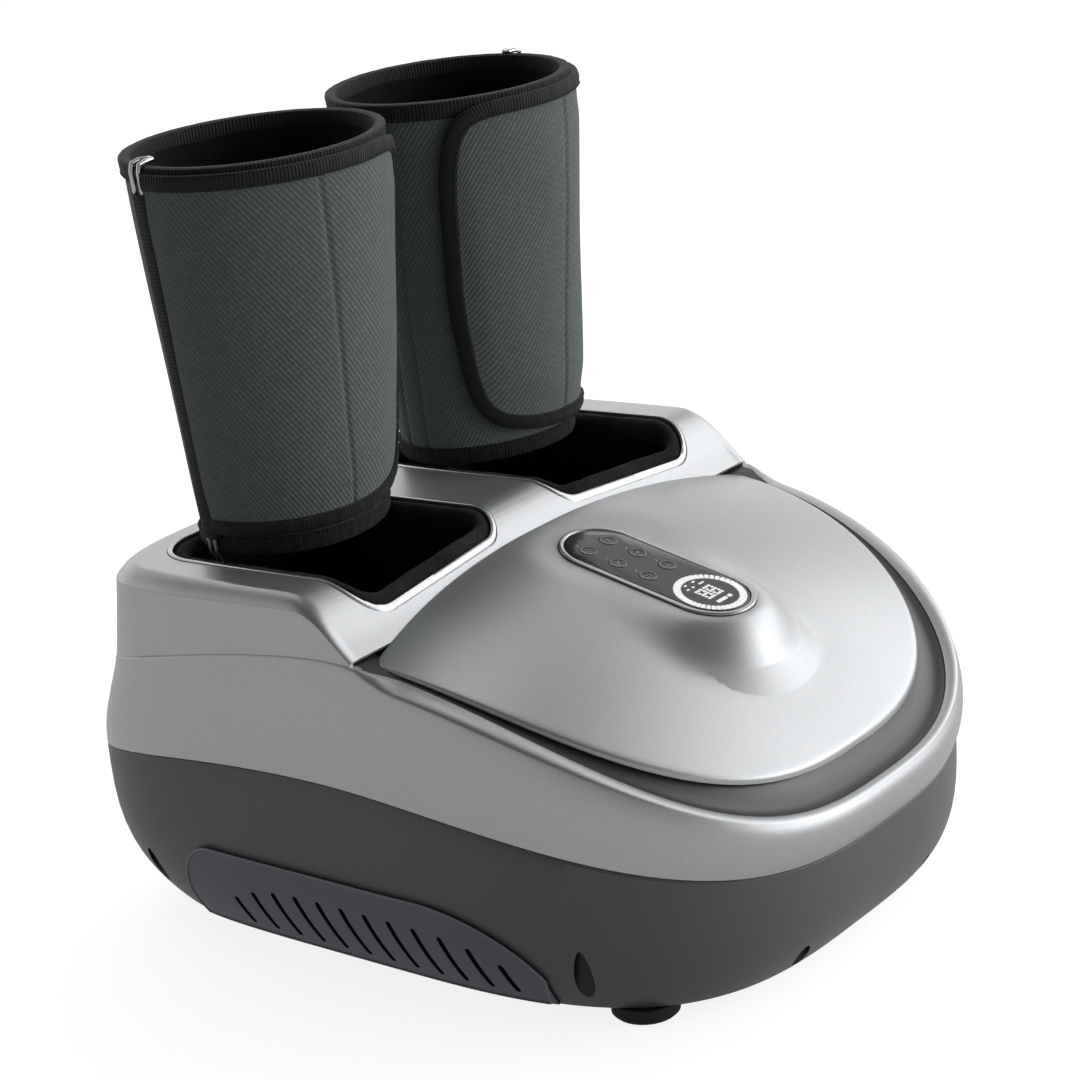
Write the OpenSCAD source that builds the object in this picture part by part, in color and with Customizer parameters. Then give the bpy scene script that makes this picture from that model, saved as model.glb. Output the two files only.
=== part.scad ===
/* [Casing] */
// Half width of the casing at its parting line
case_half_w = 179.6; // [170:0.1:190]
// Reach of the casing at the nose, parting line
case_nose = 210.7; // [200:0.1:222]
// Reach of the casing at the rear, parting line
case_rear = 216; // [200:0.5:222]
// Squareness of the nose outline
nose_power = 2.81; // [2.4:0.01:3.4]
// Squareness of the rear outline
rear_power = 5.2; // [4:0.1:8]
// Height of the parting line at the user's side of the lid
parting_z = 116.5; // [108:0.5:124]
// Fall of the parting line to the nose
parting_nose_fall = 50.6; // [40:0.1:56]
// Fall of the parting line to the rear
parting_rear_fall = 20.5; // [10:0.1:30]
// How far the foot of the casing draws in at the sides
foot_draw_side = 23; // [14:0.5:30]
// How far the foot of the casing draws in at the nose
foot_draw_nose = 20; // [14:0.5:30]
// How far the foot of the casing draws in at the rear
foot_draw_rear = 26; // [14:0.5:34]
// Wall of every moulded shell
wall = 3; // [2.4:0.1:4]
// Height of the rubber feet under the casing
foot_h = 8; // [5:0.5:12]
// Radius of a rubber foot
foot_r = 17.7; // [12:0.1:22]

/* [Rim and groove] */
// Half width of the casing's upper rim
rim_half_w = 168; // [160:0.5:172]
// Reach of the casing's upper rim at the nose
rim_nose = 209.3; // [200:0.1:212]
// Height of the upper rim at the user's side of the lid
rim_z = 182; // [176:0.5:186]
// Fall of the upper rim to the nose
rim_fall = 76; // [66:0.5:84]

/* [Lid] */
// Half width of the lid
lid_half_w = 165; // [155:0.5:167]
// Reach of the lid at the nose
lid_nose = 195.5; // [186:0.5:200]
// Squareness of the lid outline
lid_power = 2.64; // [2.2:0.01:3]
// Height of the lid's edge at its rear corners
lid_edge_z = 184; // [180:0.5:190]
// Height of the lid in the middle of its rear edge
lid_crown_z = 202.5; // [196:0.5:208]
// Fall of the lid's edge to the nose
lid_fall = 71.45; // [60:0.5:80]
// Depth of the lid's skirt
lid_skirt = 5; // [3:0.5:8]
// Slope exponent of the lid's fall
lid_bow = 1.853; // [1.5:0.01:2.2]

/* [Top frame round the foot wells] */
// Half width of the frame's walls
tower_half_w = 178; // [172:0.5:180]
// Rear face of the frame's walls at their top
tower_rear = 169; // [160:0.5:176]
// Height of the frame's top
tower_top_z = 217.6; // [205:0.5:225]
// Width of the chamfer along the frame's top
chamfer_w = 6.5; // [4:0.5:9]
// Width of the rear chamfer
chamfer_rear = 9; // [5:0.5:12]
// Height where the walls meet the casing, beside the lid
step_z = 186; // [180:0.5:190]

/* [Foot wells] */
// Inner side of a foot well
well_in = 22.5; // [18:0.5:28]
// Outer side of a foot well
well_out = 152.5; // [145:0.5:158]
// Front edge of a foot well at its inner side
well_front_in = 1; // [-4:0.5:6]
// Front edge of a foot well at its outer side
well_front_out = -6.5; // [-12:0.5:2]
// Rear edge of a foot well
well_rear = 149; // [140:0.5:153]
// Thickness of the plush liner
liner_wall = 4; // [3:0.5:6]
// Width of the padded lip round a well
lip_w = 9; // [6:0.5:14]
// Height of the sole in a foot well, underside
sole_z = 66.5; // [62:0.5:72]
// Reach of the toe pocket towards the nose
toe_reach = 150; // [130:1:158]
// Width of the bright ring round a well
trim_w = 2.6; // [2:0.1:4]

/* [Control panel] */
// Half width of the panel's bright rim
bezel_half_w = 24.8; // [22:0.1:28]
// Length of the panel's bright rim
bezel_len = 117.5; // [105:0.5:125]
// Place of the panel's middle along the body, towards the nose
panel_y = 77; // [70:0.5:84]
// Height of the panel's middle
panel_z = 185.8; // [180:0.1:192]
// Tilt of the panel towards the nose
panel_tilt = 12.45; // [8:0.05:16]
// Diameter of a touch key
key_d = 10.4; // [8:0.1:12]
// Travel of a key
key_travel = 0.6; // [0.3:0.1:0.8]
// Radius of the display ring
ring_r = 19.6; // [16:0.1:21]

/* [Calf wraps] */
// Half width of a wrap at its foot
wrap_foot_rx = 53; // [48:0.5:56]
// Half depth of a wrap at its foot
wrap_foot_ry = 49; // [44:0.5:52]
// Half width of a wrap at its top
wrap_top_rx = 76.5; // [70:0.5:84]
// Half depth of a wrap at its top
wrap_top_ry = 65; // [58:0.5:70]
// Height of a wrap's lower edge
wrap_foot_z = 217; // [214:0.5:224]
// Height of a wrap's upper edge
wrap_top_z = 424; // [380:1:440]
// Place of a wrap's middle along the body, at its foot
wrap_y = 98; // [90:0.5:104]
// How far a wrap leans inward over its height
wrap_lean = 5.5; // [0:0.5:8]
// Thickness of the padded cloth
pad_t = 8; // [6:0.5:10]
// Thickness of the overlapping flap
flap_t = 4; // [3:0.5:7]
// Radius of the steel stay
stay_r = 1.3; // [1:0.1:2]

/* [Kneading mechanism] */
// Gear module
gear_m = 1.5; // [1.5:0.1:1.5]
// Teeth of a kneading wheel
wheel_teeth = 48; // [48:4:48]
// Teeth of the motor pinion
pinion_teeth = 16; // [16:4:16]
// Radius of a kneading head
head_r = 33; // [26:0.5:34]
// Radius of a wheel's pin
pin_r = 4; // [3:0.1:6]
// Running clearance of pins and shafts
run_gap = 0.05; // [0.03:0.01:0.1]
// Height of the mechanism plate's top
plate_z = 37; // [35:0.5:38]

/* [Hidden] */
$fn = 48;
// Points round a casing outline
RN = 84;
// Clearance between pieces that only meet
seam = 0.3;

// Helpers for curves
function spow(v, e) = sign(v) * pow(abs(v), e);
function mix(a, b, t) = a + (b - a) * t;
function step01(a, b, v) = let (t = min(1, max(0, (v - a) / (b - a)))) t * t * (3 - 2 * t);
function soft_min(a, b, k) = let (h = max(k - abs(a - b), 0) / k) min(a, b) - h * h * k / 4;
function soft_max(a, b, k) = -soft_min(-a, -b, k);

// A closed outline of two half superellipses, from the nose round to the rear and back
function outline(a, bf, br, nf, nr, count = RN) = [for (i = [0 : count - 1])
    let (t = 360 * i / count - 90, c = abs(cos(t)), s = abs(sin(t)))
    let (n = sin(t) < 0 ? nf : nr, b = sin(t) < 0 ? bf : br)
    let (r = pow(pow(c / a, n) + pow(s / b, n), -1 / n))
    [r * cos(t), r * sin(t)]];

// Arc points of a polygon whose corners are rounded
function corner_arc(p, c, n, r, steps) = let (u = (p - c) / norm(p - c), v = (n - c) / norm(n - c))
    let (half = acos(u * v) / 2, d = r / tan(half), o = c + (u + v) / norm(u + v) * r / sin(half))
    let (a = atan2((c + u * d - o)[1], (c + u * d - o)[0]))
    let (b = atan2((c + v * d - o)[1], (c + v * d - o)[0]))
    let (turn = (b - a + 540) % 360 - 180)
    [for (k = [0 : steps]) o + r * [cos(a + turn * k / steps), sin(a + turn * k / steps)]];
function rounded(corners, radii, steps = 6) = let (m = len(corners))
    [for (k = [0 : m - 1]) each corner_arc(corners[(k + m - 1) % m], corners[k],
        corners[(k + 1) % m], radii[k], steps)];

// A solid from points and triangles, turned the right way out
function turned(f) = [for (t = f) [t[0], t[2], t[1]]];
function bulk(p, f) = let (v = [for (t = f) p[t[0]] * cross(p[t[1]], p[t[2]])]) v * [for (t = v) 1];
module solid(p, f) {
    polyhedron(points = p, faces = bulk(p, f) > 0 ? turned(f) : f);
}
function walls(m, n, closed) = [for (k = [0 : closed ? m - 1 : m - 2], i = [0 : n - 1])
    let (j = (i + 1) % n, l = (k + 1) % m)
    each [[k * n + i, k * n + j, l * n + j], [k * n + i, l * n + j, l * n + i]]];

// A body through stacked mirrored rings, with its two ends closed by strips from side to side
module loft(rings) {
    n = len(rings[0]);
    m = len(rings);
    top = (m - 1) * n;
    lid = [for (i = [0 : n / 2 - 1]) let (a = i, b = i + 1, c = n - i - 1, d = (n - i) % n)
        each concat(d == a ? [] : [[a, c, d]], c == b ? [] : [[a, b, c]])];
    ends = concat([for (t = lid) [t[0], t[2], t[1]]], [for (t = lid) [t[0] + top, t[1] + top, t[2] + top]]);
    solid([for (r = rings) each r], concat(walls(m, n, false), ends));
}

// A body through sections that each have the same few points, open or closed in a ring
module sweep(sections, closed = false) {
    n = len(sections[0]);
    m = len(sections);
    last = (m - 1) * n;
    ends = closed ? [] : concat([for (i = [1 : n - 2]) [0, i + 1, i]],
        [for (i = [1 : n - 2]) [last, last + i, last + i + 1]]);
    solid([for (s = sections) each s], concat(walls(m, n, closed), ends));
}

// Casing
function part_z(y) = y < 20 ? parting_z - parting_nose_fall * pow((20 - y) / 240, 2)
    : parting_z - parting_rear_fall * pow((y - 20) / 180, 2);
part_ring = outline(case_half_w, case_nose, case_rear, nose_power, rear_power);
foot_power = 3.2;
// Ring of the lower casing at a share of its height, drawn in by w
function low_ring(s, w, z = undef) = let (f = pow(1 - s, foot_power))
    let (o = outline(case_half_w - foot_draw_side * f - w, case_nose - foot_draw_nose * f - w,
        case_rear - foot_draw_rear * f - w, nose_power + f / 2, rear_power))
    [for (i = [0 : RN - 1]) [o[i][0], o[i][1],
        is_undef(z) ? foot_h + s * (part_z(part_ring[i][1]) - foot_h) : z]];
floor_z = foot_h + wall;
// Half width of the lower casing at a place, for what follows its side
function low_share(y, z) = (z - foot_h) / (part_z(y) - foot_h);
function low_half(y, z) = let (f = pow(max(0, 1 - low_share(y, z)), foot_power))
    let (b = y < 0 ? case_nose - foot_draw_nose * f : case_rear - foot_draw_rear * f)
    let (n = y < 0 ? nose_power + f / 2 : rear_power)
    (case_half_w - foot_draw_side * f) * pow(max(0, 1 - pow(abs(y) / b, n)), 1 / n);

// Upper casing: share of height, then how far it stands out at side, nose and rear
bulge = [[0, 0, 0, 0], [0.22, 0.9, 3, -9.5], [0.45, 1.6, 4.8, -19.9], [0.66, 1.5, 5.2, -28.9],
    [0.82, 0.8, 4.4, -35], [0.93, 0, 3, -38.3]];
tower_base_rear = tower_rear + 8;
tower_power = 9;
function lid_edge(y) = lid_edge_z - lid_fall * pow(max(0, -y) / 195, lid_bow);
function rim_height(y) = y < 0 ? rim_z - rim_fall * pow(-y / 195, lid_bow) + (step_z - rim_z) * step01(-40, -16, y)
    : step_z - 25 * pow(y / 150, 1.5);
rim_base = outline(rim_half_w, rim_nose, tower_base_rear, 2.83, tower_power);
rim_ring = [for (p = rim_base) let (k = step01(-40, -16, p[1]))
    [p[0] * mix(1, (tower_half_w + seam) / rim_half_w, k), p[1], rim_height(p[1])]];
function up_ring(row, w) = let (o = outline(case_half_w + row[1] - w, case_nose + row[2] - w,
        case_rear + row[3] - w, nose_power, mix(rear_power, tower_power, row[0])))
    [for (i = [0 : RN - 1]) [o[i][0], o[i][1], mix(part_z(part_ring[i][1]) + seam, rim_ring[i][2], row[0])]];
cove_t = 2.2;
function drawn_in(ring, w, dz) = [for (p = ring) let (r = norm([p[0], p[1]]))
    [p[0] * (1 - w / r), p[1] * (1 - w / r), p[2] + dz]];
// Inner edge of the rim: a step down to the cove at the front, a flat shelf under the tower's walls
rim_inner = [for (p = rim_ring) let (r = norm([p[0], p[1]]), k = step01(-40, -16, p[1]), w = mix(0.3, wall + 1, k))
    [p[0] * (1 - w / r), p[1] * (1 - w / r), p[2] - mix(cove_t + 1.6, 0.1, k)]];
// Skirt depth of the lid, growing to the nose
function skirt(y) = mix(0.4, 0.7, step01(0, -lid_nose, y)) * lid_skirt;
lid_outline = outline(lid_half_w, lid_nose, tower_rear, lid_power, tower_power);
// The ledge that carries the cove and the lid, or the foot of the tower further back
ledge_in = [for (i = [0 : RN - 1]) let (p = lid_outline[i], k = step01(-40, -16, p[1]), r = norm(p))
    [p[0] * (1 - 9 / r), p[1] * (1 - 9 / r),
        mix(lid_edge(p[1]) - skirt(p[1]) - cove_t - 6.5, rim_height(p[1]) - 8, k)]];

// Top frame and the walls that carry it
function slope_z(y) = tower_top_z - 15.1 + 1.08 * y;
function top_z(y) = soft_min(slope_z(y), tower_top_z - 0.037 * y, 12);
function low_z(y) = soft_min(tower_top_z - 17.1 + 0.9 * y, tower_top_z - 7.1 - 0.05 * y, 10);
side_y = [-16, -11.5, -7, -2.5, 2, 6.5, 11, 15.5, 20, 26, 36, 60, 90, 110];
corner_t = [40, 46, 52, 58, 64, 71, 79];
function half_at(y, a, b) = a * pow(1 - pow(max(0, y) / b, tower_power), 1 / tower_power);
function tower_half(a, b, front) = concat(
    [for (y = side_y) let (v = y == side_y[0] ? front : y) [half_at(v, a, b), v]],
    [for (t = corner_t) let (r = pow(pow(cos(t) / a, tower_power) + pow(sin(t) / b, tower_power), -1 / tower_power))
        [r * cos(t), r * sin(t)]]);
function tower_ring(a, b, front) = let (h = tower_half(a, b, front), m = len(h))
    concat([[0, front]], h, [[0, b]], [for (k = [m - 1 : -1 : 0]) [-h[k][0], h[k][1]]]);
function raised(ring, kind, dz) = [for (p = ring) [p[0], p[1],
    (kind == "top" ? max(top_z(p[1]), low_z(p[1]) + 0.6) : low_z(p[1])) + dz]];

// Foot wells
well_corners = [[well_in, well_front_in], [well_out, well_front_out], [well_out, well_rear], [well_in, well_rear]];
well_radii = [19, 24, 34, 26];
// Outline of the right foot well, drawn in by w
function well_line(w, steps = 6) = rounded([[well_in + w, well_corners[0][1] + w],
    [well_out - w, well_corners[1][1] + w], [well_out - w, well_rear - w], [well_in + w, well_rear - w]],
    [for (r = well_radii) max(4, r - w)], steps);

module left_side() {
    mirror([1, 0, 0]) children();
}

module well_hole(w = 0, z = 0) {
    translate([0, 0, z]) linear_extrude(400) polygon(well_line(w));
}

// Leaf shaped screw mouths low on the casing: place of each bore
screw_in = 17.6;
vent_x = case_half_w - 9.6;
screw_at = [for (s = [-1, 1]) each [[s * (case_half_w - screw_in), case_rear - 60],
    [s * (case_half_w - screw_in - 8), -case_nose + 82.7], [s * (case_half_w / 3 + 0.13), -case_nose + 16.7]]];
screw_bore = 5;
screw_seat_z = 62;
vent_count = 12;

// Power inlet in the rear wall, and the places of the rubber feet
inlet_x = 0;
inlet_z = 48;
inlet_r = 6;
feet_at = [for (s = [-1, 1]) each [[s * 121, -139.8], [s * 118, 128]]];

vent_mid = 30;
function vent_slot_y(k) = 88 - 16 * k;
function vent_slot_z(k) = 46 - 288 * pow(abs(k - (vent_count - 1) / 2) / vent_count, 4);
module vent_slots(half_depth) {
    for (k = [0 : vent_count - 1]) {
        y = vent_slot_y(k);
        z_top = vent_slot_z(k);
        translate([0, y, (z_top + 16) / 2]) rotate([-14, 0, 0]) union() {
            cube([half_depth * 2, 2.6, z_top - 18], center = true);
            for (e = [-1, 1]) translate([0, 0, e * (z_top - 18) / 2])
                rotate([0, 90, 0]) cylinder(h = half_depth * 2, r = 1.3, center = true, $fn = 16);
        }
    }
}

module lower_housing() {
    color("dimgray") difference() {
        union() {
            difference() {
                loft(concat([for (s = [0, 0.03, 0.09, 0.18, 0.3, 0.48, 0.72, 1]) low_ring(s, 0)],
                    [for (s = [1, 0.5, 0.28, 0.14]) low_ring(s, wall)], [low_ring(0.05, wall, floor_z)]));
                for (s = [0, 1], k = [0 : vent_count - 1]) mirror([s, 0, 0]) translate([vent_x, vent_slot_y(k), vent_mid])
                    rotate([-14, 0, 0]) cube([48, 3.6, vent_slot_z(k) - 16], center = true);
            }
            for (p = screw_at) intersection() {
                hull() {
                    translate([p[0], p[1], foot_h]) cylinder(h = screw_seat_z + 3 - foot_h, r = 8, $fn = 20);
                    translate([p[0] * 1.08, p[1] * 1.08, foot_h]) cylinder(h = screw_seat_z - 2 - foot_h, r = 8, $fn = 20);
                }
                loft([for (s = [0, 0.03, 0.09, 0.18, 0.3, 0.48, 0.72, 1]) low_ring(s, 0.6)]);
            }
            for (s = [-1, 1], y = [-118, -14]) hull() {
                translate([s * 8, y, floor_z - 1]) cylinder(h = 5, r = 3, $fn = 16);
                translate([s * 8, y + 6, floor_z - 1]) cylinder(h = 5, r = 3, $fn = 16);
            }
        }
        for (p = screw_at) translate([p[0], p[1], 0]) {
            cylinder(h = screw_seat_z, r = screw_bore, $fn = 28);
            cylinder(h = screw_seat_z + 10, r = 1.9, $fn = 12);
        }
        translate([inlet_x, case_rear - 20, inlet_z]) rotate([-90, 0, 0]) cylinder(h = 40, r = inlet_r + 0.2);
        for (p = feet_at) translate([p[0], p[1], 0]) cylinder(h = 30, r = 2.5, $fn = 12);
    }
}

module upper_housing() {
    color("darkgray") difference() {
        union() {
            sweep([for (r = concat([for (row = bulge) up_ring(row, 0)], [rim_ring],
                [rim_inner], [ledge_in],
                [drawn_in(ledge_in, 0, -wall)], [drawn_in(rim_ring, wall + 1, -wall - 4.4)],
                [for (k = [3, 1, 0]) up_ring(bulge[k], wall)])) r], closed = true);
            for (p = screw_at) hull() {
                translate([p[0] * 0.99, p[1] * 0.99, part_z(p[1]) + 3]) cylinder(h = 10, r = 4.5, $fn = 24);
                translate(p * (p[1] < 0 && p[1] > -150 ? 1.01 : 1.02)) translate([0, 0, part_z(p[1]) + 5]) cylinder(h = p[1] < -150 ? 11 : 18, r = 6, $fn = 24);
            }
            for (p = screw_at) translate([p[0] * 0.99, p[1] * 0.99, screw_seat_z + 3 + seam])
                cylinder(h = part_z(p[1]) - screw_seat_z + 2, r = 4.2, $fn = 24);
            for (s = [-1, 1]) hull() {
                translate([s * (case_half_w - 7.6), 60, part_z(60) + 8]) cube([4, 3, 20], center = true);
                translate([s * (case_half_w - 3.6), 60, part_z(60) + 24]) cube([4, 3, 20], center = true);
            }
        }
        for (p = screw_at) translate([p[0], p[1], 0]) cylinder(h = screw_seat_z + 22, r = 1.42, $fn = 12);
    }
}

// Walls of the tower round both wells, open at the front where the lid comes in
module tower_wall() {
    outer_low = tower_ring(tower_half_w, tower_base_rear, side_y[0]);
    outer_top = raised(tower_ring(tower_half_w, tower_rear, side_y[0]), "low", 0);
    inner_top = raised(tower_ring(tower_half_w - wall, tower_rear - wall, side_y[0]), "low", 0);
    inner_low = tower_ring(tower_half_w - wall, tower_base_rear - wall, side_y[0]);
    color("darkgray") sweep([for (i = [1 : len(outer_low) - 1]) [
        [outer_low[i][0], outer_low[i][1], rim_height(outer_low[i][1]) + seam], outer_top[i], inner_top[i],
        [inner_low[i][0], inner_low[i][1], rim_height(inner_low[i][1]) + seam]]]);
}

module rear_cowl() {
    a = tower_half_w - chamfer_w;
    b = tower_rear - chamfer_rear;
    front = side_y[0];
    color("silver") difference() {
        loft([raised(tower_ring(a - 2, b - 2, front + wall), "top", -wall),
            raised(tower_ring(tower_half_w - wall, tower_rear - wall, front + wall), "low", seam),
            raised(tower_ring(tower_half_w, tower_rear, front), "low", seam),
            raised(tower_ring(a, b, front), "top", 0)]);
        for (s = [0, 1]) mirror([s, 0, 0]) well_hole(0, 100);
    }
}

// Lid: outline, height and the raised pod round the panel
function lid_rear(x) = -2.8 - (lid_crown_z - lid_edge_z) / 1.08 * pow(abs(x) / lid_half_w, 2.2);
function lid_width(y) = lid_half_w * pow(max(0.001, 1 - pow(min(1, max(0, -y) / lid_nose), lid_power)), 1 / lid_power);
function in_lid(x, y) = y < lid_rear(x) && (y > 0 || pow(abs(x) / lid_half_w, lid_power) + pow(-y / lid_nose, lid_power) < 1);
function lid_reach(c, s, lo = 0, hi = 260, k = 22) = k == 0 ? lo : let (m = (lo + hi) / 2)
    in_lid(c * m, s * m - panel_y) ? lid_reach(c, s, m, hi, k - 1) : lid_reach(c, s, lo, m, k - 1);
function lid_middle(y) = lid_crown_z - (lid_crown_z - lid_edge_z + lid_fall) * pow(max(0, -y) / lid_nose, 1.75);
function lid_z(x, y) = let (u = min(1, abs(x) / lid_width(y)))
    lid_middle(y) - (lid_middle(y) - lid_edge(y)) * pow(u, 2.2);
function panel_at(y) = panel_z + tan(panel_tilt) * (y + panel_y);
panel_half = bezel_len / 2 - bezel_half_w;
// Distance of a place from the panel's long round outline
function off_panel(x, y) = norm([x, max(0, abs(y + panel_y) * 1.02 - panel_half)]) - bezel_half_w;
function pod_z(x, y) = let (d = max(0, off_panel(x, y) - 1.5)) panel_at(y) - 0.35 * d - 0.035 * d * d;
function dome_z(x, y) = soft_max(lid_z(x, y), pod_z(x, y), 7);
// Where a line from the panel's middle leaves a pill of half width w
function pill_reach(w, h, c, s) = let (q = abs(s) / cos(panel_tilt), m = c * c + q * q) q * w <= abs(c) * h ? w / abs(c)
    : (h * q + sqrt(max(0, h * h * q * q - m * (h * h - w * w)))) / m;
lid_count = 72;
lid_steps = [0.03, 0.08, 0.15, 0.25, 0.4, 0.6, 0.8, 0.94, 1];
lid_t = 2.5;
pod_clear = 0.3;

module top_lid() {
    color("gainsboro") sweep([for (k = [0 : lid_count - 1]) let (t = 360 * k / lid_count, c = cos(t), s = sin(t))
        let (a = pill_reach(bezel_half_w + 0.4, panel_half, c, s), b = lid_reach(c, s), back = s > 0.3 ? 1 : 0)
        let (p = [for (f = concat([0], lid_steps)) let (r = mix(a, b, f)) [c * r, s * r - panel_y]])
        let (q = [for (f = [1, 0.6, 0.25, 0]) let (r = mix(a, b - (back ? 4 : 2.5), f)) [c * r, s * r - panel_y]])
        let (e = p[len(p) - 1])
        concat([[p[0][0], p[0][1], panel_at(p[0][1])]],
            [for (j = [1 : len(p) - 1]) [p[j][0], p[j][1], dome_z(p[j][0], p[j][1])]],
            [[e[0], e[1] - 2.4 * back, dome_z(e[0], e[1]) - (back ? 2.6 : skirt(e[1]))]],
            [for (j = [0 : 3]) [q[j][0], q[j][1],
                (j == 3 ? panel_at(q[j][1]) : dome_z(q[j][0], q[j][1])) - (j == 0 ? (back ? 3 : skirt(q[0][1])) : lid_t)]]
        )], closed = true);
}

// Cove under the lid's edge, from one lid corner round the nose to the other
cove_first = [for (i = [0 : RN - 1]) if (rim_base[i][1] < -40) i];
module cove_trim() {
    half = [for (i = cove_first) if (i < RN / 2) i];
    order = concat([for (i = [len(half) - 1 : -1 : 1]) RN - half[i]], half);
    color("gray") sweep([for (i = order) let (l = lid_outline[i], o = rim_ring[i], n = norm(l), m = norm([o[0], o[1]]))
        let (top = lid_edge(l[1]) - skirt(l[1]) - 0.6, inner = l * (1 - 2.6 / n), outer = [o[0], o[1]] * (1 - 0.6 / m))
        let (mid = mix(inner, outer, 0.32), z = mix(top, o[2] - 0.3, 0.72))
        [[inner[0], inner[1], top], [mid[0], mid[1], z], [outer[0], outer[1], o[2] - 0.3],
            [outer[0], outer[1], o[2] - 0.3 - cove_t], [mid[0] * 0.985, mid[1] * 0.985, z - cove_t + 0.3],
            [inner[0] * 0.985, inner[1] * 0.985, top - cove_t]]]);
}

// Louvred panel low on each side, from its rear end to its front end
vent_y = [127, 123, 116, 105, 90, 60, 30, 0, -35, -60, -78, -92, -102, -109];
vent_top = 62;
function vent_z(y) = let (a = y > 98 ? (y - 98) / 30 : y < -40 ? (-40 - y) / 72 : 0)
    13 + (vent_top - 13) * sqrt(max(0.01, 1 - pow(a, y > 0 ? 2.2 : 1.9)));
module vent_panel() {
    rows = [0, 0.09, 0.2, 0.36, 0.56, 0.78, 1];
    color("slategray") difference() {
        sweep([for (y = vent_y) concat(
            [for (r = rows) let (z = mix(foot_h + 1.5, vent_z(y), r)) [low_half(y, z) + 0.6, y, z]],
            [for (k = [6 : -1 : 0]) let (z = mix(foot_h + 1.5, vent_z(y), rows[k])) [low_half(y, z) + 2, y, z]])]);
        translate([vent_x, 0, 0]) vent_slots(24);
    }
}
module left_vent_panel() left_side() vent_panel();
module right_vent_panel() vent_panel();

// Bright ring round each well
module well_trim() {
    inner = well_line(trim_w + 0.4, 7);
    outer = well_line(0.4, 7);
    color("gainsboro") sweep([for (i = [0 : len(inner) - 1])
        [[inner[i][0], inner[i][1], top_z(inner[i][1]) - 4], [outer[i][0], outer[i][1], top_z(outer[i][1]) - 4],
            [outer[i][0], outer[i][1], top_z(outer[i][1]) + 0.6], [inner[i][0], inner[i][1], top_z(inner[i][1]) + 0.6]]], closed = true);
}
module left_well_trim() left_side() well_trim();
module right_well_trim() well_trim();

// Plush liner of the right foot: a boot shape with its mouth in the well and a toe pocket to the nose
foot_x = 87.5;
gap_w = trim_w + 0.8;
function liner_plan(w) = rounded([[well_in + gap_w + w, well_rear - gap_w - w], [well_in + gap_w + w, -30],
    [34 + w, w - toe_reach], [124 - w, w - toe_reach], [well_out - gap_w - w, -50],
    [well_out - gap_w - w, well_rear - gap_w - w]], [22.6 - w, 60, 34, 40, 90, 30.6 - w], 5);
liner_side = concat([[-toe_reach, sole_z], [-toe_reach, 106], [-144, 114], [-132, 121], [-60, 152], [-22, 172]],
    [for (y = [-3, 4, 10, 16, 26, 34, 44, 60, 110, 150]) [y, top_z(y) - 6.3]], [[150, sole_z]]);
liner_room = [[-toe_reach + liner_wall, sole_z + liner_wall], [-toe_reach + liner_wall, 104], [-141, 110.5],
    [-130, 117], [-58, 148], [-20, 168.5], [1, 189], [1, 260], [160, 260], [160, sole_z + liner_wall]];
module across(x0, x1, side) {
    translate([x0, 0, 0]) rotate([90, 0, 90]) linear_extrude(x1 - x0) polygon(side);
}
module foot_liner() {
    color("black") difference() {
        intersection() {
            across(0, 170, liner_side);
            translate([0, 0, sole_z]) linear_extrude(200) polygon(liner_plan(0));
        }
        intersection() {
            across(0, 170, liner_room);
            translate([0, 0, sole_z]) linear_extrude(200) polygon(liner_plan(liner_wall));
        }
    }
}
module left_foot_liner() left_side() foot_liner();
module right_foot_liner() foot_liner();

// Padded roll of plush round the mouth of a well
lip_section = [[0.3, -5.4], [0.3, -1.8], [2.4, -0.6], [lip_w * 0.62, -1.2], [lip_w - 0.4, -5], [lip_w, -11],
    [lip_w - 2, -15.5], [liner_wall + 0.4, -15.5], [liner_wall + 0.4, -5.4]];
module well_lip() {
    lines = [for (q = lip_section) well_line(gap_w + q[0], 6)];
    color("black") sweep([for (i = [0 : len(lines[0]) - 1]) [for (k = [0 : len(lip_section) - 1])
        [lines[k][i][0], lines[k][i][1], top_z(lines[k][i][1]) + lip_section[k][1]]]], closed = true);
}
module left_well_lip() left_side() well_lip();
module right_well_lip() well_lip();

// Control panel, built in its own tilted plane
module on_panel(w) {
    translate([0, -panel_y, panel_z]) rotate([panel_tilt, 0, 0]) translate([0, 0, w]) children();
}
module pill(half, t) {
    translate([-half, -panel_half, 0]) cube([2 * half, 2 * panel_half, t]);
    for (e = [-1, 1]) translate([0, e * panel_half, 0]) cylinder(h = t, r = half, $fn = 72);
}
lens_half = bezel_half_w - 3.1;
lens_top = 1.2;
lens_t = 2.5;
key_places = [for (s = [-1, 1], v = [37.9, 18.4, -1]) [9 * s, v]];
ring_v = -34.4;
key_gap = 0.15;

module panel_bezel() {
    color("gainsboro") on_panel(0) difference() {
        union() {
            translate([0, 0, 0.3]) pill(bezel_half_w, 1.2);
            translate([0, 0, -4]) pill(bezel_half_w - 1.5, 5);
        }
        translate([0, 0, -5]) pill(lens_half + 0.2, 8);
    }
}
module panel_lens() {
    color("black") on_panel(lens_top - lens_t) difference() {
        pill(lens_half, lens_t);
        for (k = key_places) translate([k[0], k[1], -1]) cylinder(h = 6, r = key_d / 2 + key_gap);
        translate([0, ring_v, lens_t - 0.6]) difference() {
            cylinder(h = 2, r = ring_r + 0.1, $fn = 72);
            translate([0, 0, -1]) cylinder(h = 4, r = ring_r - 3.9, $fn = 72);
        }
    }
}
module display_ring() {
    color("white") on_panel(lens_top - 0.55) translate([0, ring_v, 0]) difference() {
        cylinder(h = 0.6, r = ring_r, $fn = 72);
        translate([0, 0, -1]) cylinder(h = 3, r = ring_r - 3.6, $fn = 72);
    }
}
board_w = -4.2;
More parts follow.
